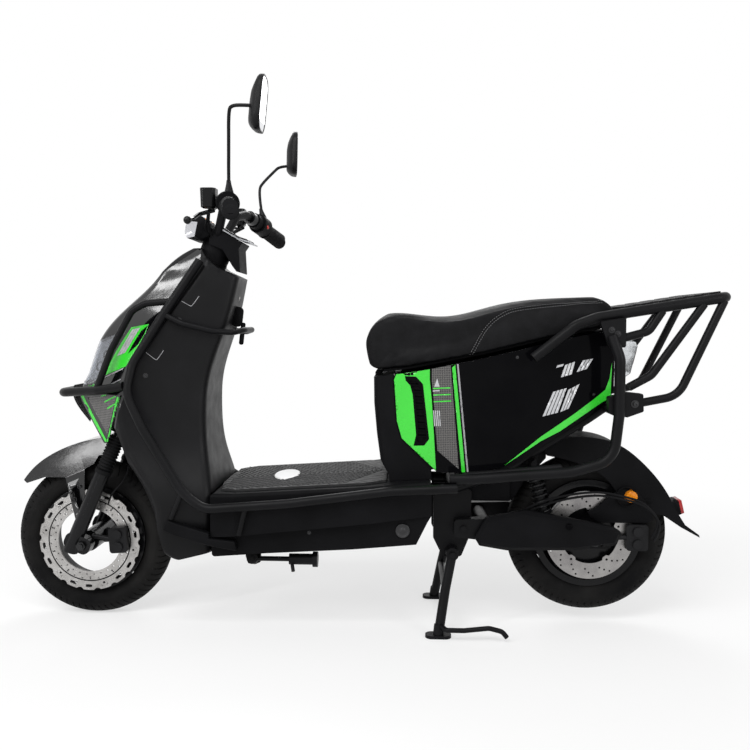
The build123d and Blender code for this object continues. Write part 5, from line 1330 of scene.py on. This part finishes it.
def build_bolts():
    """Fasteners on the discs, fender, guards and panels, and the lock on the belly."""
    for name, material, count, first, away, radius in DISC_HEADS:
        heads = []
        for k in range(count):
            turn = radians(first + 360 * k / count)
            place = FRONT_AXLE + Vector((away * cos(turn), 54.4, away * sin(turn))) * MM
            heads.append(turned([(r * radius, h) for r, h in (
                (0, 0.1), (0.45, 0.1), (0.5, 0.4), (0.9, 0.4), (1, 0.25), (1, -0.5))],
                facing(LEFT, place), 24))
        piece_from(heads, name, "front_wheel", material)
    for name, body, material, rows in CAP_SCREWS:
        met = [(*on_skin(node, point, side), radius) for node, point, radius in rows for side in SIDES]
        piece_from([bolt_shape(*spot) for spot in met if spot[0] is not None],
                   name, body, material, 35)
    hit, normal = on_skin("belly_cover", rear(473, 270))
    plug = turned([(0, 3.2), (6, 3.2), (7, 2.2), (13, 2.0), (15, 4.0), (17, 3.4), (18, 0.5), (18, -2)],
                  facing(normal, hit), 40)
    piece_from(plug, "belly_lock", FRAME, dark_steel)


build_shocks()
build_hoses()
build_bolts()


# ---- floor mat -----------------------------------------------------------
# Ribs of the mat: spacing, width, height, and how far out they start and end.
RIB_STEP, RIB_WIDE, RIB_HIGH = 12.5 * MM, 5.5 * MM, 1.3 * MM
RIB_INNER, RIB_OUTER, RIB_SLANT, RIB_CUTS = 5 * MM, 146 * MM, 0.62, 8
BADGE_HALF_LENGTH, BADGE_HALF_WIDTH = 33, 65


def build_mat():
    """Chevron ribs on the mat, each side of its centre, and the plain oval badge."""
    skin = skin_of("floor_mat")
    low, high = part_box("floor_mat")

    def top(x, y):
        """Point on the mat's upper face."""
        return skin.ray_cast(Vector((x, y, 1)), -UP)[0]

    shape = bmesh.new()
    start = low.x + 12 * MM
    while start < high.x - 8 * MM:
        for side in SIDES:
            rows = []
            for step in range(RIB_CUTS + 1):
                across = RIB_INNER + (RIB_OUTER - RIB_INNER) * step / RIB_CUTS
                along = start + across * RIB_SLANT
                below = top(along, side * across) if along <= high.x - 10 * MM else None
                if below is None:
                    break
                rows.append([shape.verts.new(below + Vector((shift * RIB_WIDE, 0, rise * RIB_HIGH)))
                             for shift, rise in ((-0.5, -0.3), (-0.28, 1), (0.28, 1), (0.5, -0.3))])
            bridge(shape, rows, closed=False)
            if len(rows) > 1:
                shape.faces.new(rows[0])
                shape.faces.new(rows[-1][::-1])
        start += RIB_STEP
    bmesh.ops.recalc_face_normals(shape, faces=shape.faces)
    piece_from(shape, "mat_ribs", FRAME, mat_rubber, smooth=False)

    badge = turned([(0, 3.4), (0.84, 3.4), (0.95, 2.8), (1.0, 1.2), (1.0, -1)], Matrix.Identity(4), 64)
    centre = top(rear(776, 0).x, 0)
    for vertex in badge.verts:
        vertex.co = centre + vertex.co * Vector((BADGE_HALF_LENGTH, BADGE_HALF_WIDTH, 1))
    piece_from(badge, "mat_badge", FRAME, white_badge)


build_mat()
